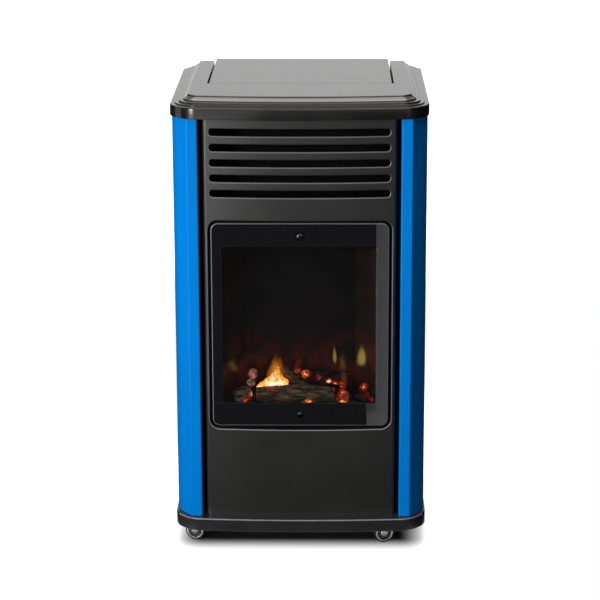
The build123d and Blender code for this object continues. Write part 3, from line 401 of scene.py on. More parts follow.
def makeScorchedSteelWithPaintedGlow(name, dark, light):
    # heat-resistant matt paint, browned by soot, with a painted glow: a dull red emission low down, at the embers'
    # height, that stands for the fire's light on the wall
    material, tree, shader, place = startFinish(name, {"Roughness": 0.8, "IOR": 1.5, "Specular IOR Level": 0.12})
    soot = addNode(tree, "TexNoise", {"Vector": place, "Scale": perMm(45), "Detail": 5.0, "Distortion": 0.6})
    colour = addNode(tree, "ValToRGB", {"Fac": soot}, [(0.35, dark), (0.65, light)])
    bump = addNode(tree, "Bump", {"Height": soot, "Strength": 0.1, "Distance": 0.001})
    height = addNode(tree, "SeparateXYZ", {0: place}).outputs["Z"]  # in metres
    # painted glow of the fire's light: a band at the embers' height, torn into patches
    hot = addNode(tree, "ValToRGB", {"Fac": height},
                  [(0.265, "000000"), (0.3, "3a0d08"), (0.33, "2a0a07"), (0.37, "000000")])
    patch = addNode(tree, "TexNoise", {"Vector": place, "Scale": perMm(38), "Detail": 2.0})
    torn = addNode(tree, "MapRange", {"Value": patch, "From Min": 0.4, "From Max": 0.65})
    setInputs(tree, shader, {"Base Color": colour, "Normal": bump, "Emission Color": hot,
                             "Emission Strength": torn})
    return material


def makeMetal(name, tones, roughness, grain, stretch=(1, 1, 1)):
    # bare metal: colour drifts a little, and fine drawn or cast grain breaks the highlight
    material, tree, shader, place = startFinish(name, {"Roughness": roughness, "Metallic": 1.0})
    along = addNode(tree, "Mapping", {"Vector": place, "Scale": stretch})
    grain = addNode(tree, "TexNoise", {"Vector": along, "Scale": perMm(grain), "Detail": 3.0})
    colour = addNode(tree, "ValToRGB", {"Fac": grain}, twoTones(tones))
    bump = addNode(tree, "Bump", {"Height": grain, "Strength": 0.08, "Distance": 0.0002})
    setInputs(tree, shader, {"Base Color": colour, "Normal": bump})
    return material


def makePlain(name, code, roughness, **more):  # pigmented gloss or print: even colour with a faint mottle
    material, tree, shader, place = startFinish(name, {"Roughness": roughness, "IOR": 1.5, **more})
    tone = addNode(tree, "TexNoise", {"Vector": place, "Scale": perMm(12), "Detail": 2.0})
    dark, light = ([min(part * share, 1) for part in hexLinear(code)[:3]] + [1] for share in (0.88, 1.08))
    shade = addNode(tree, "Mix", {0: tone, 6: dark, 7: light}, data_type="RGBA")
    setInputs(tree, shader, {"Base Color": shade.outputs[2]})
    return material


def makeGlowingCeramic(name, look):
    # painted ceramic fibre: bark or coal colours in long streaks, red-hot where the piece's glow value says so
    material, tree, shader, place = startFinish(name, {"Roughness": 0.85, "IOR": 1.45})
    along = addNode(tree, "Mapping", {"Vector": place, "Rotation": (0, radians(look.get("turn", 0)), 0),
                                      "Scale": look.get("stretch", (1, 1, 1))})
    ridges = addNode(tree, "TexNoise", {"Vector": along, "Scale": perMm(look["grain"]), "Detail": 8.0,
                                        "Roughness": 0.65, "Distortion": 0.5})
    colour = addNode(tree, "ValToRGB", {"Fac": ridges}, look["colours"])
    chips = addNode(tree, "TexNoise", {"Vector": place, "Scale": perMm(look["crack"]), "Detail": 5.0,
                                       "Roughness": 0.7, "Distortion": 1.2})
    heat = addNode(tree, "Attribute", attribute_name="emberGlow").outputs["Fac"]
    broken = addNode(tree, "MapRange", {"Value": chips, "From Min": 0.38, "From Max": 0.62, "To Min": 0.15,
                                        "To Max": 1.4})
    gate = addNode(tree, "Math", {0: heat, 1: broken}, operation="MULTIPLY")
    glow = addNode(tree, "ValToRGB", {"Fac": gate}, look["glow"])
    power = addNode(tree, "MapRange", {"Value": gate, "From Min": 0.1, "From Max": 1.0, "To Min": 0.25,
                                       "To Max": look["power"]})
    bump = addNode(tree, "Bump", {"Height": ridges, "Strength": 0.9, "Distance": 0.002})
    setInputs(tree, shader, {"Base Color": colour, "Emission Color": glow, "Emission Strength": power,
                             "Normal": bump})
    return material


def makeFlame(name, stops, look):
    # burning gas: nothing but light, brightest low down and in its middle, torn into tongues and soft at its edges
    material, tree, shader, place = startFinish(name, {})
    tree.nodes.remove(shader)
    heat = addNode(tree, "Attribute", attribute_name="emberGlow").outputs["Fac"]
    tall = addNode(tree, "Mapping", {"Vector": place, "Scale": (1.0, 1.0, 0.5)})
    curl = addNode(tree, "TexNoise", {"Vector": tall, "Scale": perMm(look["curl"]), "Detail": 4.0,
                                      "Roughness": 0.55, "Distortion": 2.2})
    torn = addNode(tree, "Math", {0: curl, 1: 0.5}, operation="SUBTRACT")
    level = addNode(tree, "Math", {0: torn, 1: look["torn"], 2: heat}, operation="MULTIPLY_ADD")
    rim = addNode(tree, "LayerWeight", {"Blend": look["soft"]}).outputs["Facing"]
    deep = addNode(tree, "Math", {0: 1.0, 1: rim}, operation="SUBTRACT")
    soft = addNode(tree, "Math", {0: level, 1: deep}, operation="MULTIPLY")
    colour = addNode(tree, "ValToRGB", {"Fac": soft}, stops)
    lit = addNode(tree, "Emission", {"Color": colour, "Strength": look["power"]})
    clear = addNode(tree, "BsdfTransparent")
    cover = addNode(tree, "MapRange", {"Value": soft, "From Min": look["fade"][0], "From Max": look["fade"][1]})
    both = addNode(tree, "MixShader", {0: cover, 1: clear, 2: lit})
    setInputs(tree, tree.nodes["Material Output"], {"Surface": both})
    return material


matt = dict(tone=35, grain=1.1, grainDetail=3.0, strength=0.15)
powder = dict(tone=90, grain=1.6, strength=0.08)
redHot = [(0.06, "000000"), (0.2, "350603"), (0.38, "94170a"), (0.55, "e2420f"), (0.72, "ff8a2e"),
          (0.92, "ffdf98")]
bark = dict(grain=6, crack=5, stretch=(0.3, 1, 1), power=1.5, glow=redHot,
            colours=[(0.36, "0e0b08"), (0.47, "33291c"), (0.56, "5c4f3a"), (0.7, "93825f")])
finish = {
    # satin: a fine spark-eroded grain and broad soft highlights
    "lid": makeCoat("mouldedSatinPolypropylene", "121211 171716", 0.2,
                    dict(tone=60, toneDetail=3.0, grain=1.5, strength=0.03, sheen=(0.17, 0.23)),
                    **{"IOR": 1.52, "Specular Tint": (1.0, 0.965, 0.925, 1.0)}),
    # stoved enamel on sheet steel: clear depth of colour and a faint orange peel
    "blue": makeCoat("stovedBlueEnamel", "007ed6 0082dc", 0.2,
                     dict(tone=140, grain=3.5, strength=0.05, depth=0.0003), **{"Specular IOR Level": 0.14}),
    # baked powder coat: an even texture that spreads the highlight; its rolled lips get a lighter grey, a painted
    # highlight
    "panel": makeCoat("texturedBlackPowderCoat", "20201f 262625", 0.31, powder),
    "rolled": makeCoat("paintedHighlightLipCoat", "68686a 737375", 0.2, {**powder, "strength": 0.05}),
    "cover": makeCoat("blackCoverPowderCoat", "1b1b1c 232324", 0.5, dict(tone=90, grain=1.0, strength=0.3)),
    # matt black paint inside, darkened to near black: partly its own colour, partly painted shade that keeps the
    # slots and the window's return black
    "inner": makeCoat("blackPaintWithPaintedShade", "040404 070707", 0.8, dict(tone=90, grain=2.0, strength=0.2),
                      **{"Specular IOR Level": 0.12}),
    # toughened glass with a faint warm tint, its printed border with a mirror-like gloss, and its ground edge
    "glass": makeCoat("toughenedGlass", "eceaea f2f0f0", 0.0, dict(tone=120),
                      **{"IOR": 1.45, "Transmission Weight": 1.0}),
    "print": makeCoat("enamelBackedGlass", "121216 17171b", 0.0, dict(tone=8)),
    "ground": makePlain("groundGlassEdge", "6d7070", 0.4),
    # moulded nylon, polypropylene and rubber: plain and matt; the base's top front edge gets a light grey band, a
    # painted highlight
    "well": makeCoat("mouldedBlackTub", "101010 171716", 0.6, matt),
    "base": makeCoat("mouldedBasePolypropylene", "27272a 2c2c2f", 0.22, matt),
    "rim": makeCoat("paintedHighlightBaseRim", "747476 808082", 0.25, matt),
    "nylon": makeCoat("mouldedCastorNylon", "131314 1a1a1b", 0.45, matt),
    "tyre": makeCoat("mouldedTyreRubber", "0e0e0f 151516", 0.5, matt),
    # moulded gloss and print: small, clean and even
    "knob": makePlain("mouldedGlossKnob", "17171a", 0.2),
    "button": makePlain("mouldedRedButton", "a3160f", 0.28),
    "mark": makePlain("printedWhiteMark", "e4e3de", 0.5),
    "dial": makePlain("printedBlackMark", "0c0c0d", 0.5),
    "porcelain": makePlain("glazedPorcelain", "e6e0d4", 0.22),
    # blackened heads that glint on dull black washers
    "screw": makePlain("blackenedScrewSteel", "050506", 0.16),
    "washer": makePlain("mattFibreWasher", "030303", 0.9, **{"Specular IOR Level": 0.08}),
    # metals: brushed where it was rolled or drawn, mirror-like where it was plated
    "burner": makeMetal("rolledStainlessSteel", "8f8a85 aaa49c", 0.38, 1.5, (1, 8, 8)),
    "fascia": makeMetal("brushedControlPlate", "66686b 7c7e81", 0.36, 0.9, (0.04, 1, 1)),
    "zinc": makeMetal("zincPlatedSteel", "a7a9ab c0c1c2", 0.3, 4),
    "cap": makeMetal("darkChrome", "8e908b a0a29d", 0.16, 10),
    "chrome": makeMetal("polishedChrome", "d3d6cf e3e5df", 0.14, 10),
    "brass": makeMetal("turnedBrass", "a8822f c49a45", 0.28, 1.2, (8, 1, 8)),
    "pipe": makeMetal("drawnAluminiumPipe", "b4b6b8 c9cbcd", 0.32, 2, (1, 1, 0.1)),
    "cast": makeMetal("dieCastAlloy", "8d8f92 a5a7aa", 0.48, 1.6),
    "rope": makeRopeSeal(),  # pale fuzzy strands 2 mm apart
    "scorched": makeScorchedSteelWithPaintedGlow("heatScorchedPaint", "0e0b0c", "151112"),
    "cheek": makeScorchedSteelWithPaintedGlow("heatBrownedPaint", "1b110c", "2a1b13"),
    "log": makeGlowingCeramic("paintedCeramicBark", bark),
    "branch": makeGlowingCeramic("paintedCeramicBranch", {**bark, "turn": -43}),
    "charred": makeGlowingCeramic("charredCeramicBark", {
        **bark, "crack": 4.5, "stretch": (0.4, 1, 1),
        "colours": [(0.4, "060505"), (0.54, "15110e"), (0.64, "2c2620"), (0.76, "5c5348")]}),
    "coal": makeGlowingCeramic("paintedCeramicCoal", dict(
        grain=5, crack=5.5, power=1.5, glow=redHot,
        colours=[(0.3, "0a0807"), (0.5, "1a1411"), (0.64, "362a22"), (0.78, "5f4d40")])),
    "ash": makeGlowingCeramic("ashCoveredEmber", dict(
        grain=4, crack=3, power=0.9, glow=[(0.1, "200805"), (0.4, "7a2a1e"), (0.6, "c0564a"), (0.85, "ffb08c")],
        colours=[(0.38, "4b2c29"), (0.5, "94645a"), (0.6, "c8a094"), (0.72, "ecd6cc")])),
    "flame": makeFlame("yellowGasFlame", [(0.0, "3a0a00"), (0.22, "c8400a"), (0.42, "ff8a1c"), (0.66, "ffb83a"),
                                         (0.86, "ffe89a"), (1.0, "fffbe6")],
                       dict(curl=6, torn=2.8, soft=0.55, power=1.3, fade=(0.08, 0.5))),
    "orange": makeFlame("orangeFlameHaze", [(0.0, "2a0800"), (0.3, "8a3006"), (0.6, "c87018"), (0.9, "f4a234")],
                        dict(curl=9, torn=1.0, soft=0.8, power=1.1, fade=(0.1, 4.5))),
    "haze": makeFlame("faintGasFlame", [(0.0, "282006"), (0.4, "6e5c18"), (0.7, "b09a3c"), (0.9, "dccb6a")],
                      dict(curl=9, torn=0.5, soft=0.85, power=0.8, fade=(0.05, 4.2))),
}
print("finishes ready:", len(finish))


def bowedLoop(half, shoulder, back, cut, backCut, wide, small, bow):
    # the plan of the lid and the base: bowed in front, cut at its four corners
    cutX, cutY = cut
    corners = [(-(half - cutX), shoulder), (half - cutX, shoulder), (half, shoulder + cutY), (half, back - backCut),
               (half - backCut, back), (-(half - backCut), back), (-half, back - backCut), (-half, shoulder + cutY)]
    return roundedLoop(corners, [wide] * 3 + [small] * 4 + [wide], steps=9, bows=[(0, bow)])


lid = dict(width=420, depth=425, frontCut=28, backCut=20, frontRadius=40, taper=0.85, backRadius=6, bow=12,
           side=30, front=36, back=25, wall=3, lipWall=0.8, bottom=739, ceiling=753, plateUnder=769, top=772,
           notchHalf=155, notchFront=-51.2, notchEdge=0.8, least=1.2,
           profile=[(0.0, 740.0), (0.0, 755.4), (0.008, 756.6), (0.03, 757.4), (0.235, 757.7), (0.25, 758.1),
                    (0.254, 759.0), (0.27, 759.7), (0.47, 759.95), (0.484, 760.4), (0.49, 761.7), (0.505, 762.4),
                    (0.69, 762.7), (0.705, 763.1), (0.715, 764.4), (0.74, 765.1), (0.78, 765.7), (0.84, 766.9),
                    (0.90, 768.2), (0.95, 769.5), (0.968, 770.9), (0.985, 771.7), (1.01, 772.0)])


def lidLoop(share, wall=0.0):
    side = lid["side"] * share + wall
    shrink = (2 - sqrt(2)) * side
    cut = lid["frontCut"] - shrink
    return bowedLoop(lid["width"] / 2 - side, -lid["depth"] / 2 + lid["front"] * share + wall + lid["bow"],
                     lid["depth"] / 2 - lid["back"] * share - wall, (cut, cut),
                     max(lid["backCut"] - shrink, lid["backRadius"]),
                     max(lid["frontRadius"] - lid["taper"] * side, lid["least"]), lid["backRadius"] / 2, lid["bow"])


def buildLid():
    bm = bmesh.new()
    wall, bottom = lid["wall"], lid["bottom"]
    under = [(1.0, wall, lid["plateUnder"]), (1.0, wall, lid["ceiling"]), (0.0, wall, lid["ceiling"]),
             (0.0, wall, bottom), (0.0, lid["lipWall"], bottom)]
    stackLoops(bm, [(lidLoop(share, inset), z) for share, inset, z in under]
               + [(lidLoop(share), z) for share, z in lid["profile"]])
    notch = bmesh.new()
    half, front = lid["notchHalf"], lid["notchFront"]
    addBlock(notch, (-half, half), (front, lid["depth"]), (bottom - 5, lid["top"] + 5))
    bm = cutAway(bm, notch)
    near = 0.01  # the notch's own top edges are the ones rounded
    rim = [e for e in sharpEdges(bm, 1, lambda co: co.z > lid["plateUnder"] + 2.5)
           if all(abs(abs(v.co.x) - half) < near for v in e.verts)
           or all(abs(v.co.y - front) < near for v in e.verts)]
    roundEdges(bm, rim, lid["notchEdge"], 3)
    makePiece("lidMoulding", bm, "lid", "top_lid", smooth=40, weighted=True)


flap = dict(half=152, front=-50, back=209.5, backRadius=4.8, frontRadius=1.2, edge=0.9, under=769, top=772,
            lip=2.4, lipDrop=4, lipBack=184.5, inset=0.3, skirtLow=762, skirt=3, arm=(140, 146), armRadius=6,
            hinge=(198, 749))


def buildFlap():
    bm = bmesh.new()
    half, front, back, inset = flap["half"], flap["front"], flap["back"], flap["inset"]
    plate = roundedLoop([(-half, front), (half, front), (half, back), (-half, back)],
                        [flap["frontRadius"]] * 2 + [flap["backRadius"]] * 2)
    addPrism(bm, plate, flap["under"], flap["top"], edge=flap["edge"], steps=3)
    low, high = flap["under"] - flap["lipDrop"], flap["under"] + 0.6
    addBlock(bm, (-half + inset, half - inset), (front + inset, front + flap["lip"]), (low, high), 0.4)
    for side in sides:
        addBlock(bm, (side * (half - inset), side * (half - flap["lip"])), (front + inset, flap["lipBack"]),
                 (low, high), 0.4)
    reach = half - flap["backRadius"]
    addBlock(bm, (-reach, reach), (back - flap["skirt"], back - inset), (flap["skirtLow"], high), 0.5)
    (y, z), radius = flap["hinge"], flap["armRadius"]
    arm = roundedLoop([(y - radius, z - radius), (y + radius, z - radius), (y + radius, high), (y - radius, high)],
                      [radius * 0.98, radius * 0.98, 0, 0], steps=8)
    for side in sides:
        addPrism(bm, arm, *sorted(side * end for end in flap["arm"]), axis="x", edge=0.4)
    makePiece("flapCover", bm, "lid", "control_flap", "control_flap", weighted=True)


sidePanel = dict(half=208.5, front=-182.7, back=204, cut=(25.5, 33), corner=48, returnEdge=165, frame=-160.3,
                 flange=48, backRadius=12, hem=2.6, sheet=1.2, low=58, high=739)


def buildSides():
    half, front, back, hem = sidePanel["half"], sidePanel["front"], sidePanel["back"], sidePanel["hem"]
    cutX, cutY = sidePanel["cut"]
    path = [(half - sidePanel["flange"], back), (half, back), (half, front + cutY), (half - cutX, front),
            (sidePanel["returnEdge"], front), (sidePanel["returnEdge"], sidePanel["frame"])]
    corners, radii = thickPath(path, [0, sidePanel["backRadius"], sidePanel["corner"], hem, hem, 0],
                               sidePanel["sheet"])
    for name, side in zip(("left", "right"), sides):
        bm = bmesh.new()
        loop = [(side * x, y) for x, y in roundedLoop(corners, radii, steps=12)]
        addPrism(bm, loop, sidePanel["low"], sidePanel["high"], edge=0.35)
        makePiece(f"{name}SidePanel", bm, "blue", f"side_panel_{name}", smooth=40, weighted=True)


panel = dict(half=157.5, front=-183, frame=-160.3, low=58, high=739, sheet=2.2, hem=5, arc=1386.2, slots=5,
             slot=(294, 11.8), slotCorner=5.6, pitch=25.3, firstSlot=713, window=(302, 357), windowMiddle=388.5,
             windowCorner=17, edge=1.7, lipReach=152, lipZone=(200, 725), returnEnd=-168.8, returnWall=1.2)


def bowAt(x):  # how far back the bowed front has fallen at x
    return panel["arc"] - sqrt(panel["arc"] ** 2 - x ** 2)


def buildFront():
    half, front, sheet, frame, hem = (panel[key] for key in ("half", "front", "sheet", "frame", "hem"))
    inner = half - sheet
    outerY, innerY = front + bowAt(half), front + sheet + bowAt(inner)
    corners = [(-half, outerY), (half, outerY), (half, frame), (inner, frame), (inner, innerY), (-inner, innerY),
               (-inner, frame), (-half, frame)]
    bm = bmesh.new()
    addPrism(bm, roundedLoop(corners, [hem, hem, 0, 0, 0.4, 0.4, 0, 0], cuts=36,
                             bows=[(0, bowAt(half)), (4, bowAt(inner))]), panel["low"], panel["high"])
    (width, height), middle = panel["window"], panel["windowMiddle"]
    opening = roundedBox(width, height, 0, middle, panel["windowCorner"], 10)
    slots = [roundedBox(*panel["slot"], 0, panel["firstSlot"] - row * panel["pitch"], panel["slotCorner"], 6)
             for row in range(panel["slots"])]
    holes = bmesh.new()
    for outline in slots + [opening]:
        addPrism(holes, outline, front - 10, frame + 5, axis="y")
    bm = cutAway(bm, holes)
    bottom, top = panel["lipZone"]
    rims = [e for e in sharpEdges(bm, 1.2, lambda co: abs(co.x) < panel["lipReach"] and bottom < co.z < top)
            if sum(f.normal.y < -0.9 for f in e.link_faces) == 1]
    for face in roundEdges(bm, rims, panel["edge"], 4)["faces"]:
        face.normal_update()  # the lips that face up or sideways get the lighter grey coat: a painted highlight where the light falls on them
        face.material_index = 1 if face.normal.z > -0.15 else 0
    makePiece("bowedFront", bm, "panel rolled", "front_panel", smooth=40, weighted=True)

    def lipStart(point):
        return front + 1.5 + bowAt(min(abs(point[0]), half))

    bm = bmesh.new()  # the window's folded return, from the panel back to the glass
    wall, end = panel["returnWall"], panel["returnEnd"]
    outer = roundedBox(width + 2 * wall, height + 2 * wall, 0, middle, panel["windowCorner"] + wall, 10)
    stackLoops(bm, [(opening, lipStart), (opening, end), (outer, end), (outer, lipStart)], "y", closeRound=True)
    # the return takes the near-black inner finish: its own black paint, and painted shade in the gap round the glass
    makePiece("windowReturn", bm, "inner")


window = dict(glass=(292, 347), middle=388.5, corner=12, front=-174, back=-170.15, edge=1.4, view=(256, 268),
              viewMiddle=388, viewCorner=4, dome=1.9, shank=(2.4, 7.5),
              screws=((540, 5.2, 8.2), (234.5, 4.4, 6.2)))  # height, radius of the head and of the washer


def buildWindow():
    bm = bmesh.new()
    width, height = window["glass"]
    edge, front, back = window["edge"], window["front"], window["back"]
    clear = roundedBox(*window["view"], 0, window["viewMiddle"], window["viewCorner"], 8)
    loops = [(roundedBox(width - 2 * inset, height - 2 * inset, 0, window["middle"], window["corner"] - inset, 8), y)
             for inset, y in ((edge, front), (edge * 0.3, front + edge * 0.3), (0, front + edge), (0, back - edge),
                              (edge, back))]
    stackLoops(bm, [(clear, front), *loops, (clear, back)], "y")
    for face in bm.faces:  # the clear pane, the printed border round it, and the ground edge
        flat = len({round(v.co.y, 3) for v in face.verts}) == 1
        face.material_index = (0 if len(face.verts) == len(clear) else 1) if flat else 2
    makePiece("glassPane", bm, "glass print ground", "glass_window", smooth=12, weighted=True)

    bm = bmesh.new()
    dome, (shank, depth) = window["dome"], window["shank"]
    for z, radius, washer in window["screws"]:
        before = len(bm.faces)
        profile = [(0, dome), (radius * 0.35, dome * 0.95), (radius * 0.66, dome * 0.8), (radius * 0.88, dome * 0.55),
                   (radius, 0.9), (radius, 0.6), (washer - 0.4, 0.5), (washer, 0.2), (washer, 0), (shank, 0),
                   (shank, -depth), (0, -depth)]
        addTurned(bm, profile, (0, front, z), (0, -1, 0))
        for face in bm.faces[before:]:  # the ring that shows round each head is a dull washer
            middle = face.calc_center_median()
            if hypot(middle.x, middle.z - z) > radius + 0.05 and middle.y < front + 0.1:
                face.material_index = 1
    makePiece("windowScrewHeads", bm, "screw washer", "window_screws")


base = dict(half=210.6, front=-203.5, back=208.5, cut=(27, 29), backCut=20, bow=7.9, frontRadius=40, backRadius=6,
            low=36.4, top=58, seat=(120, 50, 59), wall=3.5, deckUnder=53.5, rib=70, ribHalf=1.5,
            ribEnds=(-189.5, 194.5), ribLow=42, bossRadius=10.5, sleeveRadius=6.5, bossLow=41.4,
            paintedRimHighlight=(1.6, 0.1, -170))  # the painted highlight band: from and to below the top, and how far back it reaches
castorSpots = ((-158, -138), (158, -138), (-158, 150), (158, 150))


def baseLoop(wall):
    cutX, cutY = base["cut"]
    return bowedLoop(base["half"] - wall, base["front"] + wall + base["bow"], base["back"] - wall,
                     (cutX - 0.5 * wall, cutY - 0.5 * wall), base["backCut"], base["frontRadius"] - wall,
                     base["backRadius"], base["bow"])


def buildBase():
    bm = bmesh.new()
    wall, deck, low, top = base["wall"], base["deckUnder"], base["low"], base["top"]
    levels = [(wall, deck), (wall, low + 0.5), (wall - 0.5, low), (0.6, low), (0.0, low + 0.6), (0.0, top - 2.0),
              (0.15, top - 1.2), (0.6, top - 0.6), (1.2, top - 0.15), (2.0, top)]
    stackLoops(bm, [(baseLoop(inset), z) for inset, z in levels])
    reach, back, high = base["seat"]
    addTurned(bm, [(0, top - 0.5), (reach, top - 0.5), (reach, high - 0.3), (reach - 0.3, high), (0, high)],
              (0, back, 0), steps=96)
    for side in sides:
        x = side * base["rib"]
        addBlock(bm, (x - base["ribHalf"], x + base["ribHalf"]), base["ribEnds"], (base["ribLow"], deck + 0.5), 0.3)
    outer, inner, low = base["bossRadius"], base["sleeveRadius"], base["bossLow"]
    for x, y in castorSpots:
        addTurned(bm, [(inner, deck), (inner, low), (outer - 0.6, low), (outer, low + 0.6), (outer, deck)],
                  (x, y, 0), steps=36)
    # painted highlight: the faces along the base's top front edge take the light grey rim finish
    start, end, reach = base["paintedRimHighlight"]
    for face in bm.faces:
        middle = face.calc_center_median()
        if top - start < middle.z < top - end and middle.y < reach:
            face.material_index = 1
    makePiece("baseMoulding", bm, "base rim", "base_tray", smooth=40, weighted=True)


castor = dict(trail=20, radius=17, web=8, gap=0.5, width=10, dish=2, tyre=2.4, headLow=34.8, headTop=41,
              headRadius=9, ring=2.2, ringHeight=1.6, capRadius=6.5, capHeight=3.2, axle=2.6, stem=4.05)
castorTurns = {"front_left": (castorSpots[0], 17), "front_right": (castorSpots[1], -15),
               "back_left": (castorSpots[2], 40), "back_right": (castorSpots[3], -62)}


def buildCastor(name, spot, swivel):
    trail, radius, web, axle, stem = (castor[key] for key in ("trail", "radius", "web", "axle", "stem"))
    place = Matrix.Translation((*spot, 0)) @ Matrix.Rotation(radians(-swivel), 4, "Z")

    def settle(bm, title, moves, looks, stands):
        bmesh.ops.transform(bm, matrix=place, verts=bm.verts)
        makePiece(f"{title}_{name}", bm, looks, f"castor_{name}_{stands}", f"castor_{name}_{moves}",
                  weighted=True)

    bm = bmesh.new()  # fork and swivel head
    low, high, head = castor["headLow"], castor["headTop"], castor["headRadius"]
    outline = [(-trail - 9, radius - 2), (-trail - 2, radius - 9), (-trail + 7, radius - 6), (8, 27),
               (8, low + 0.5), (-9, low + 0.5), (-trail - 6, radius + 7)]
    addPrism(bm, roundedLoop(outline, [5, 6, 5, 4, 0, 3, 5]), -web / 2, web / 2, "y", 0.8, 3)
    addTurned(bm, [(stem, high), (stem, low), (head - 1, low), (head, low + 1), (head, high - 0.8),
                   (head - 0.8, high), (stem, high)], (0, 0, 0))
    settle(bm, "castorFork", "swivel", "nylon", "body")

    bm, trims = bmesh.new(), bmesh.new()  # twin wheels with rounded treads and dished faces
    near, width, seat = web / 2 + castor["gap"], castor["width"], radius - castor["tyre"]
    floor, ring, high = width - castor["dish"], castor["ring"], castor["ringHeight"]
    cap, tall = castor["capRadius"], castor["capHeight"]
    for side in sides:
        hub, axis = (-trail, side * near, radius), (0, side, 0)
        addTurned(bm, [(axle, 0), (radius - 2.4, 0), (radius - 0.8, 0.8), (radius, 2.4), (radius, width - 2.2),
                       (radius - 0.6, width - 0.8), (radius - 2.0, width), (seat + 0.2, width), (seat, width - 0.2),
                       (seat, floor), (axle, floor), (axle, 0)], hub, axis, 48)
        addTurned(trims, [(seat - ring, floor), (seat - ring, floor + high * 0.5),
                          (seat - ring * 0.75, floor + high * 0.92), (seat - ring * 0.5, floor + high),
                          (seat - ring * 0.2, floor + high * 0.85), (seat - 0.05, floor + high * 0.4),
                          (seat - 0.05, floor), (seat - ring, floor)], hub, axis, 48)
        before = len(trims.faces)
        addTurned(trims, [(0, floor), (cap, floor), (cap, floor + tall * 0.35), (cap * 0.93, floor + tall * 0.62),
                          (cap * 0.74, floor + tall * 0.84), (cap * 0.42, floor + tall * 0.97), (0, floor + tall)],
                  hub, axis, 40)
        for face in trims.faces[before:]:
            face.material_index = 1
    settle(bm, "castorWheels", "wheels", "tyre", "wheels")
    settle(trims, "castorTrims", "wheels", "chrome cap", "trims")


fire = dict(spots=[  # what glows: x, z, reach in mm, how hot
    (-50, 281, 13, 0.6), (8, 296, 12, 0.7), (-5, 302, 10, 0.5), (47, 281, 6, 1.1), (58, 277, 8, 0.66),
    (71, 246, 15, 0.85), (71, 264, 13, 0.6), (70, 277, 10, 0.5), (13, 250, 10, 0.95), (-39, 249, 5, 0.6),
    (-79, 298, 12, 0.62), (-77, 277, 8, 0.6), (-80, 264, 8, 0.85), (-91, 254, 10, 0.55), (106, 276, 10, 0.58),
    (112, 262, 9, 0.42), (121, 256, 8, 0.45), (-24, 282, 9, 0.45), (30, 287, 9, 0.4), (92, 298, 9, 0.4)],
    burnerTop=244, seat=248, frontRow=-149.1, backRow=-127.6, bedFront=(-120, 116), bedBack=(-98, 94),
    lumps=34, lumpPitch=6.3, lumpStart=-104, free=(100, -148, 7, 6), ridge=1.5)
front, back, seat = fire["frontRow"], fire["backRow"], fire["seat"]  # for the lists below
logs = {  # points along the middle, radii, steps, sides, seed
    "main_log": [([(-74, front, seat + 14), (-30, front + 1, seat + 15), (20, front + 1, seat + 15),
                   (58, front, seat + 13)], (12.5, 15, 15, 13), 90, 44, 1),
                 ([(71, front + 6, seat + 13), (71.5, front, seat + 11), (71, front - 6, seat + 9)],
                  (9, 11.5, 10.5), 20, 32, 2)],
    "left_log": [([(-109, front - 4, seat + 12.5), (-97, front + 2, seat + 14), (-86, front + 8, seat + 14)],
                  (11, 13, 12), 34, 36, 3)],
    "right_log": [([(96, front + 3, seat + 11), (104, front, seat + 10.3), (111, front - 4, seat + 10.3)],
                   (11, 12.3, 10.5), 26, 32, 4)],
    "branch_log": [([(-33, back + 5, seat + 56), (-18, back + 4.5, seat + 43), (-2, back + 4.5, seat + 27),
                     (12, back + 4.5, seat + 13)], (6.5, 8.5, 9, 8.5), 60, 30, 5)],
    "back_log": [([(24, back + 3, seat + 37), (55, back + 2, seat + 36), (86, back, seat + 33)],
                  (9.5, 11.5, 9.5), 56, 34, 6)]}
logLooks = {"main_log": "log", "left_log": "log", "right_log": "charred", "branch_log": "branch",
            "back_log": "charred"}
looseCoals = [(9, front + 10, seat + 47, 9.5), (-5, front + 13, seat + 52, 6.5), (-62, front + 12, seat + 30, 7),
              (-48, front + 15, seat + 22, 9), (38, front + 14, seat + 26, 6), (-96, front - 8, seat + 4, 5.5),
              (118, front - 4, seat + 7, 6), (70, front + 6, seat + 24, 6.5)]
heaps = {"ashEmber": ("ash", [((-79, front + 6, seat + 48), 10.5, 51), ((-83, front + 7, seat + 33), 8, 52)]),
         "topCoal": ("coal", [((106, front - 1, seat + 28), 8.5, 61)])}


def addHeat(piece, heatAt):
    heat = piece.data.attributes.new("emberGlow", "FLOAT", "POINT")
    for index, (vert, value) in enumerate(zip(piece.data.vertices, heat.data)):
        value.value = heatAt(index, vert.co / mm)


def emberHeat(index, point):
    return min(max(hot * max(0.0, 1.25 - hypot(point.x - x, point.z - z) / reach)
                   for x, z, reach, hot in fire["spots"]), 1.0)


def addCircle(bm, radius, sides, matrix):
    return bmesh.ops.create_circle(bm, cap_ends=False, segments=sides, radius=radius, matrix=matrix)["verts"]


def ringEdges(verts):
    return list({e for v in verts for e in v.link_edges if e.other_vert(v) in verts})


def pathPoint(points, radii, share):  # a smooth walk along the log's line
    spans = len(points) - 1
    at = min(int(share * spans), spans - 1)
    t = share * spans - at
    near = [max(0, min(i, spans)) for i in range(at - 1, at + 3)]

    def ease(a, b, c, d):
        return 0.5 * (2 * b + (c - a) * t + (2 * a - 5 * b + 4 * c - d) * t * t + (3 * b - a - 3 * c + d) * t ** 3)

    return ease(*[Vector(points[i]) for i in near]), ease(*[radii[i] for i in near])


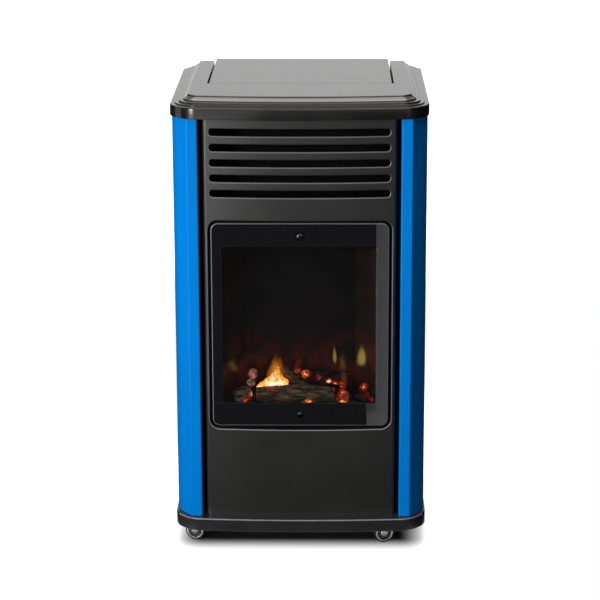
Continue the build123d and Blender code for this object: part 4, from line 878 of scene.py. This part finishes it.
def addLog(bm, points, radii, steps, around, seed):
    rings = []
    samples = [pathPoint(points, radii, i / steps) for i in range(steps + 1)]
    length = (samples[-1][0] - samples[0][0]).length
    for i, (centre, radius) in enumerate(samples):
        ahead = samples[min(i + 1, steps)][0] - samples[max(i - 1, 0)][0]
        turn = ahead.to_track_quat("Z", "Y").to_matrix().to_4x4()
        taper = 1.0 - 0.08 * (max(0, 2 - i) ** 2 + max(0, i - steps + 2) ** 2)  # rounded ends
        made = addCircle(bm, radius * taper, around, Matrix.Translation(centre) @ turn)
        along = i / steps * length
        for vert in made:
            out = (vert.co - centre).normalized()
            sample = Vector((out.x * 2.6, out.z * 2.6 + out.y, along * 0.035 + seed * 7.1))
            coarse = noise.noise(sample * 0.6)
            strips = 1 - abs(noise.noise(sample * 1.9)) * 2
            fine = noise.noise(Vector((out.x * 9, out.z * 9, along * 0.22 + seed)))
            vert.co += out * (coarse * 1.4 + fire["ridge"] * (strips * 0.5 + fine * 0.4 - 0.5))
        rings.append(ringEdges(made))
    stackRings(bm, rings)


def addCoal(bm, centre, size, seed):
    made = bmesh.ops.create_icosphere(bm, subdivisions=3, radius=size)["verts"]
    for vert in made:
        way = vert.co.normalized()
        lumpy = noise.noise(way * 1.3 + Vector((seed * 3.7, 0, 0))) * 0.38
        chips = noise.cell(way * 2.2 + Vector((0, seed * 5.3, 0))) * 0.1
        grit = noise.noise(way * 6 + Vector((0, 0, seed))) * 0.08
        vert.co = Vector((vert.co.x, vert.co.y * 0.85, vert.co.z * 0.78)) * (0.92 + lumpy + chips + grit)
    turn = Matrix.Rotation(seed * 1.7, 4, "Z") @ Matrix.Rotation(seed * 0.9, 4, "X")
    bmesh.ops.transform(bm, matrix=Matrix.Translation(centre) @ turn, verts=made)


def buildLogs():
    for name, parts in logs.items():
        bm = bmesh.new()
        for part in parts:
            addLog(bm, *part)
        title = name.replace("_l", "L")
        addHeat(makePiece(f"{title}Bark", bm, logLooks[name], name, smooth=60), emberHeat)


def buildEmbers():
    low, high = (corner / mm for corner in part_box("ember_bed"))
    bm = bmesh.new()
    (frontLeft, frontRight), (backLeft, backRight) = fire["bedFront"], fire["bedBack"]
    bed = roundedLoop([(frontLeft, low.y), (frontRight, low.y), (backRight, high.y), (backLeft, high.y)], [4] * 4)
    addPrism(bm, bed, fire["burnerTop"], seat, edge=1.2)
    coals = []
    for i in range(fire["lumps"]):  # a front row, a back row, and lumps between
        y = (front - 11 + 1.5 * sin(i * 1.9), front + 13 + 3 * sin(i * 2.7), back + 2 * sin(i * 3.1))[i % 3]
        size = 4.6 + 1.6 * sin(i * 4.1)
        x = fire["lumpStart"] + fire["lumpPitch"] * i + 3 * sin(i * 2.3)
        coals.append((x, y, seat + size * 0.45, size))
    freeX, freeY, halfWide, halfDeep = fire["free"]  # where the right log lies
    for seed, (x, y, height, size) in enumerate(coals + looseCoals):
        if not (abs(x - freeX) < halfWide + size and abs(y - freeY) < halfDeep + size):
            addCoal(bm, (x, y, height), size, seed)
    addHeat(makePiece("emberBed", bm, "coal", "ember_bed", smooth=60), emberHeat)
    for title, (look, lumps) in heaps.items():  # the ash beside the flame, and the coal that glows on the right log
        bm = bmesh.new()
        for lump in lumps:
            addCoal(bm, *lump)
        addHeat(makePiece(title, bm, look, smooth=60), emberHeat)


flames = dict(  # x, y shift, z low, height, width, lean, heat
    main=[(-67, 3, 270, 18, 14, 8, 0.6), (-57, 5, 268, 30, 19, 10, 0.75), (-45, 6, 268, 42, 22, 8, 0.84),
          (-34, 4, 269, 38, 18, -4, 0.78), (-25, 5, 272, 24, 13, -7, 0.6)],
    orange=[(-47, 10, 274, 58, 28, 6, 0.9), (-37, 10, 276, 60, 26, 2, 0.85), (-43, 8, 284, 56, 20, 2, 0.7),
            (-6, 12, 288, 34, 14, 0, 0.42), (72, 10, 266, 46, 18, -2, 0.5), (-2, 14, 300, 32, 18, 0, 0.3)],
    faint=[(58, 12, 307, 44, 11, -2, 0.95), (70, 12, 294, 50, 20, 0, 0.5), (103, 8, 303, 52, 25, 0, 1.1),
           (-113, 4, 295, 40, 26, 0, 0.6)])


def addTongue(bm, x, y, low, height, width, lean, seed, depth):
    rings = []
    for i in range(22):
        t = i / 21
        shape = sin(pi * min(t * 0.97 + 0.03, 1.0) ** 0.62) ** 0.85 + 0.02
        sway = noise.noise(Vector((seed * 3.3, t * 2.6, 0))) * width * (0.35 if depth < 0.6 else 0.12)
        centre = Vector((x + lean * t ** 1.5 + sway, y, low + height * t))
        made = addCircle(bm, max(width * 0.5 * shape, 0.2), 20, Matrix.Translation(centre))
        for vert in made:
            vert.co.y = y + (vert.co.y - y) * depth
        rings.append(ringEdges(made))
    stackRings(bm, rings)


def buildFlames():
    for title, key, look, depth in (("mainFlame", "main", "flame", 0.5), ("flameHaze", "orange", "orange", 0.9),
                                    ("faintFlames", "faint", "haze", 0.9)):
        bm = bmesh.new()
        owners = []
        for seed, (x, shift, low, height, width, lean, hot) in enumerate(flames[key]):
            addTongue(bm, x, front + shift, low, height, width, lean, seed + 1, depth)
            owners += [(low, height, hot)] * (len(bm.verts) - len(owners))

        def tongueHeat(index, point):
            low, height, hot = owners[index]
            rise = (point.z - low) / height
            if key == "main":
                return hot + 0.5 * max(0.0, 1 - rise) ** 1.2 - 0.35 * rise
            return hot * 1.25 * sin(pi * min(max(rise, 0.0), 1.0) ** 0.8)

        addHeat(makePiece(title, bm, look, smooth=180), tongueHeat)


controls = dict(knob=(-62, 60), button=(58, 60), knobLow=734.8, radius=23, disc=7.4, grip=(39, 12), gripTop=755.8,
                spindle=4.1, buttonTop=739.5, buttonLow=718.7, buttonRadius=8, fasciaTop=731.5, markHeight=0.12,
                dialRadius=31, dialSteps=("0", "1", "2", "3"), dialTurn=210, digit=8.5, dots=18, dot=0.7,
                bolt=[(-1.2, 26.5), (2.4, 26.5), (0.6, 22.2), (3.2, 22.2), (-2.2, 15), (-0.6, 20.2), (-3.2, 20.2)])


def addText(text, place, size):
    words = bpy.data.curves.new("dial text", "FONT")
    words.body = text
    words.size = size * mm
    words.align_x = words.align_y = "CENTER"
    words.extrude = controls["markHeight"] / 2 * mm
    thing = addObject("dial text", words)
    bpy.context.view_layer.update()
    mesh = bpy.data.meshes.new_from_object(thing.evaluated_get(bpy.context.evaluated_depsgraph_get()))
    mesh.transform(Matrix.Translation(place) @ Matrix.Scale(1 / mm, 4))
    bpy.data.objects.remove(thing)
    return mesh


def buildControls():
    x, y = controls["knob"]
    low, radius, spindle = controls["knobLow"], controls["radius"], controls["spindle"]
    disc, top = low + controls["disc"], controls["gripTop"]
    bm = bmesh.new()
    addTurned(bm, [(spindle, low + 6), (spindle, low), (radius - 0.8, low), (radius, low + 0.8), (radius, disc - 2.2),
                   (radius - 0.7, disc - 0.7), (radius - 2.2, disc), (10, disc + 0.3), (0, disc + 0.3)],
              (x, y, 0), steps=64)
    length, width = controls["grip"]
    stackLoops(bm, [(roundedBox(length, width, x, y, 5.5, 6), disc - 1),
                    (roundedBox(length - 5, width - 4, x, y, 3.5, 6), top - 1.2),
                    (roundedBox(length - 8, width - 6.5, x, y, 2.2, 6), top)])
    makePiece("tapKnob", bm, "knob", "control_knob", "control_knob")
    bm = bmesh.new()
    addBlock(bm, (x - 0.9, x + 0.9), (y + radius - 10, y + radius - 2.5), (disc - 0.4, disc + 0.35))
    makePiece("knobPointer", bm, "mark", body="control_knob")

    bm = bmesh.new()
    x, y = controls["button"]
    low, top, radius = controls["buttonLow"], controls["buttonTop"], controls["buttonRadius"]
    addTurned(bm, [(0, low), (radius - 0.05, low), (radius - 0.05, top - 2), (radius - 0.6, top - 0.7),
                   (radius - 1.8, top), (radius - 3.2, top - 0.15), (2.5, top - 0.7), (0, top - 0.8)],
              (x, y, 0), steps=48)
    makePiece("sparkButton", bm, "button", "igniter_button", "igniter_button")

    bm = bmesh.new()  # dial marks: plain numbers, dots and a small spark sign
    middle, reach, dots, dot = (controls[key] for key in ("knob", "dialRadius", "dots", "dot"))
    half = controls["markHeight"] / 2
    level = controls["fasciaTop"] + half
    angles = [radians(90 + controls["dialTurn"] * index / dots) for index in range(dots + 1)]
    spots = [(middle[0] + reach * cos(angle), middle[1] + reach * sin(angle)) for angle in angles]
    for text, spot in zip(controls["dialSteps"], spots[::6]):
        bm.from_mesh(addText(text, (*spot, level), controls["digit"]))
    for index, spot in enumerate(spots):
        if index % 6:
            addTurned(bm, [(0, level + half), (dot, level + half), (dot, level - half), (0, level - half)],
                      (*spot, 0), steps=12)
    addPrism(bm, [(x + u, y + v) for u, v in controls["bolt"]], level - half, level + half)
    makePiece("dialMarks", bm, "dial")


cover = dict(half=172, low=58.3, high=704.3, plane=204.3, bulge=6.5, border=12, slope=5, sheet=1.2, vent=(66, 6),
             ventCorner=2.7, pitch=15, rows=7, columns=(-84, 0, 84), inset=40, hookX=160.2, hookY=201.3,
             hookReach=8, hookHalf=12, hookEnd=120)
backScrews = dict(x=184.5, heights=(714, 730), seat=204, recess=(204.9, 207), arm=(1.7, 0.35),
                  head=[(0, 1.8), (1.6, 1.75), (2.7, 1.45), (3.3, 0.8), (3.5, 0), (2, 0), (2, -9), (0, -9)])


def crossOutline(x, z, reach, half):  # one closed outline, as two crossed blocks cut badly
    quarter = [(reach, -half), (reach, half), (half, half)]
    outline = []
    for turn in range(4):
        outline += [(x + across, z + up) for across, up in quarter]
        quarter = [(-up, across) for across, up in quarter]
    return outline


def buildCover():
    low, high, plane, sheet = cover["low"], cover["high"], cover["plane"], cover["sheet"]
    border, face = cover["border"], plane + cover["bulge"]
    slope = border + cover["slope"]
    bm = bmesh.new()
    loops = []
    for inset, level, corner in (  # round the back of the sheet, over its edge, and up to its raised face
            (slope + 1, face - sheet, 7), (slope - 1, face - sheet - 1, 8), (border, plane, 9), (0.3, plane, 5.6),
            (0, plane + 0.4, 6), (0, plane + sheet - 0.4, 6), (0.4, plane + sheet, 5.6),
            (border - 1, plane + sheet, 10), (border, plane + sheet + 0.4, 9.4), (slope - 1.2, face - 0.7, 8),
            (slope + 0.6, face, 7)):
        size = 2 * (cover["half"] - inset), high - low - 2 * inset
        loops.append((roundedBox(*size, 0, (low + high) / 2, corner, 6), level))
    stackLoops(bm, loops, "y")
    holes = bmesh.new()
    group = cover["pitch"] * (cover["rows"] - 1)
    for start in (low + cover["inset"], high - cover["inset"] - group):
        for row in range(cover["rows"]):
            for column in cover["columns"]:
                vent = roundedBox(*cover["vent"], column, start + row * cover["pitch"], cover["ventCorner"])
                addPrism(holes, vent, plane - 5, face + 5, "y")
    bm = cutAway(bm, holes)
    roundEdges(bm, sharpEdges(bm, 1.2, lambda co: co.y > face - 0.01), 0.5, 2)
    start, reach, half = cover["hookY"], cover["hookReach"], cover["hookHalf"]
    for side in sides:
        outer, inner, tip = (side * (cover["hookX"] + out) for out in (0, -sheet, reach))
        for z in (low + cover["hookEnd"], high - cover["hookEnd"]):
            addBlock(bm, (outer, inner), (start, plane + 0.2), (z - half, z + half), 0.2)
            addBlock(bm, (inner, tip), (start, start + sheet), (z - half, z + half), 0.2)
    makePiece("pressedCover", bm, "cover", "rear_cover", "rear_cover", weighted=True)

    bm, cross = bmesh.new(), bmesh.new()  # pan-head screws with cross recesses
    for side in sides:
        for z in backScrews["heights"]:
            x = side * backScrews["x"]
            addTurned(bm, backScrews["head"], (x, backScrews["seat"], z), (0, 1, 0), 28)
            addPrism(cross, crossOutline(x, z, *backScrews["arm"]), *backScrews["recess"], "y")
    makePiece("backScrewHeads", cutAway(bm, cross), "screw", "back_screws")


dressed = {  # CAD nodes that keep their shape and get a finish
    "well": "control_well igniter_body", "fascia": "control_fascia", "rope": "window_gasket",
    # the inner sheets' near-black finish is partly painted shade
    "inner": "front_frame window_frame heat_deflector bulkhead back_rail",
    "scorched": "firebox_floor firebox_back firebox_baffle", "cheek": "firebox_cheek_left firebox_cheek_right",
    "burner": "burner_tray pilot_burner thermocouple", "porcelain": "spark_electrode",
    "brass": "hose_tail burner_injector", "pipe": "gas_pipe", "cast": "gas_valve",
    "zinc": "valve_spindle flap_hinge_pins castor_sockets " + " ".join(f"castor_{name}_pins" for name in castorTurns)}


def dressNodes():
    for look, names in dressed.items():
        for name in names.split():
            data = nodes[name].data
            if not data.materials:
                data.materials.append(finish[look])
            for index in range(len(data.materials)):
                data.materials[index] = finish[look]


buildCamera()
buildLights()
buildFloor()
buildCards()
print("studio ready")
buildLid()
buildFlap()
print("lid and flap ready")
buildSides()
buildFront()
buildWindow()
print("front ready")
buildBase()
for name, (spot, swivel) in castorTurns.items():
    buildCastor(name, spot, swivel)
print("base and castors ready")
buildLogs()
buildEmbers()
buildFlames()
print("fire ready")
buildControls()
buildCover()
dressNodes()
print("controls and back ready")
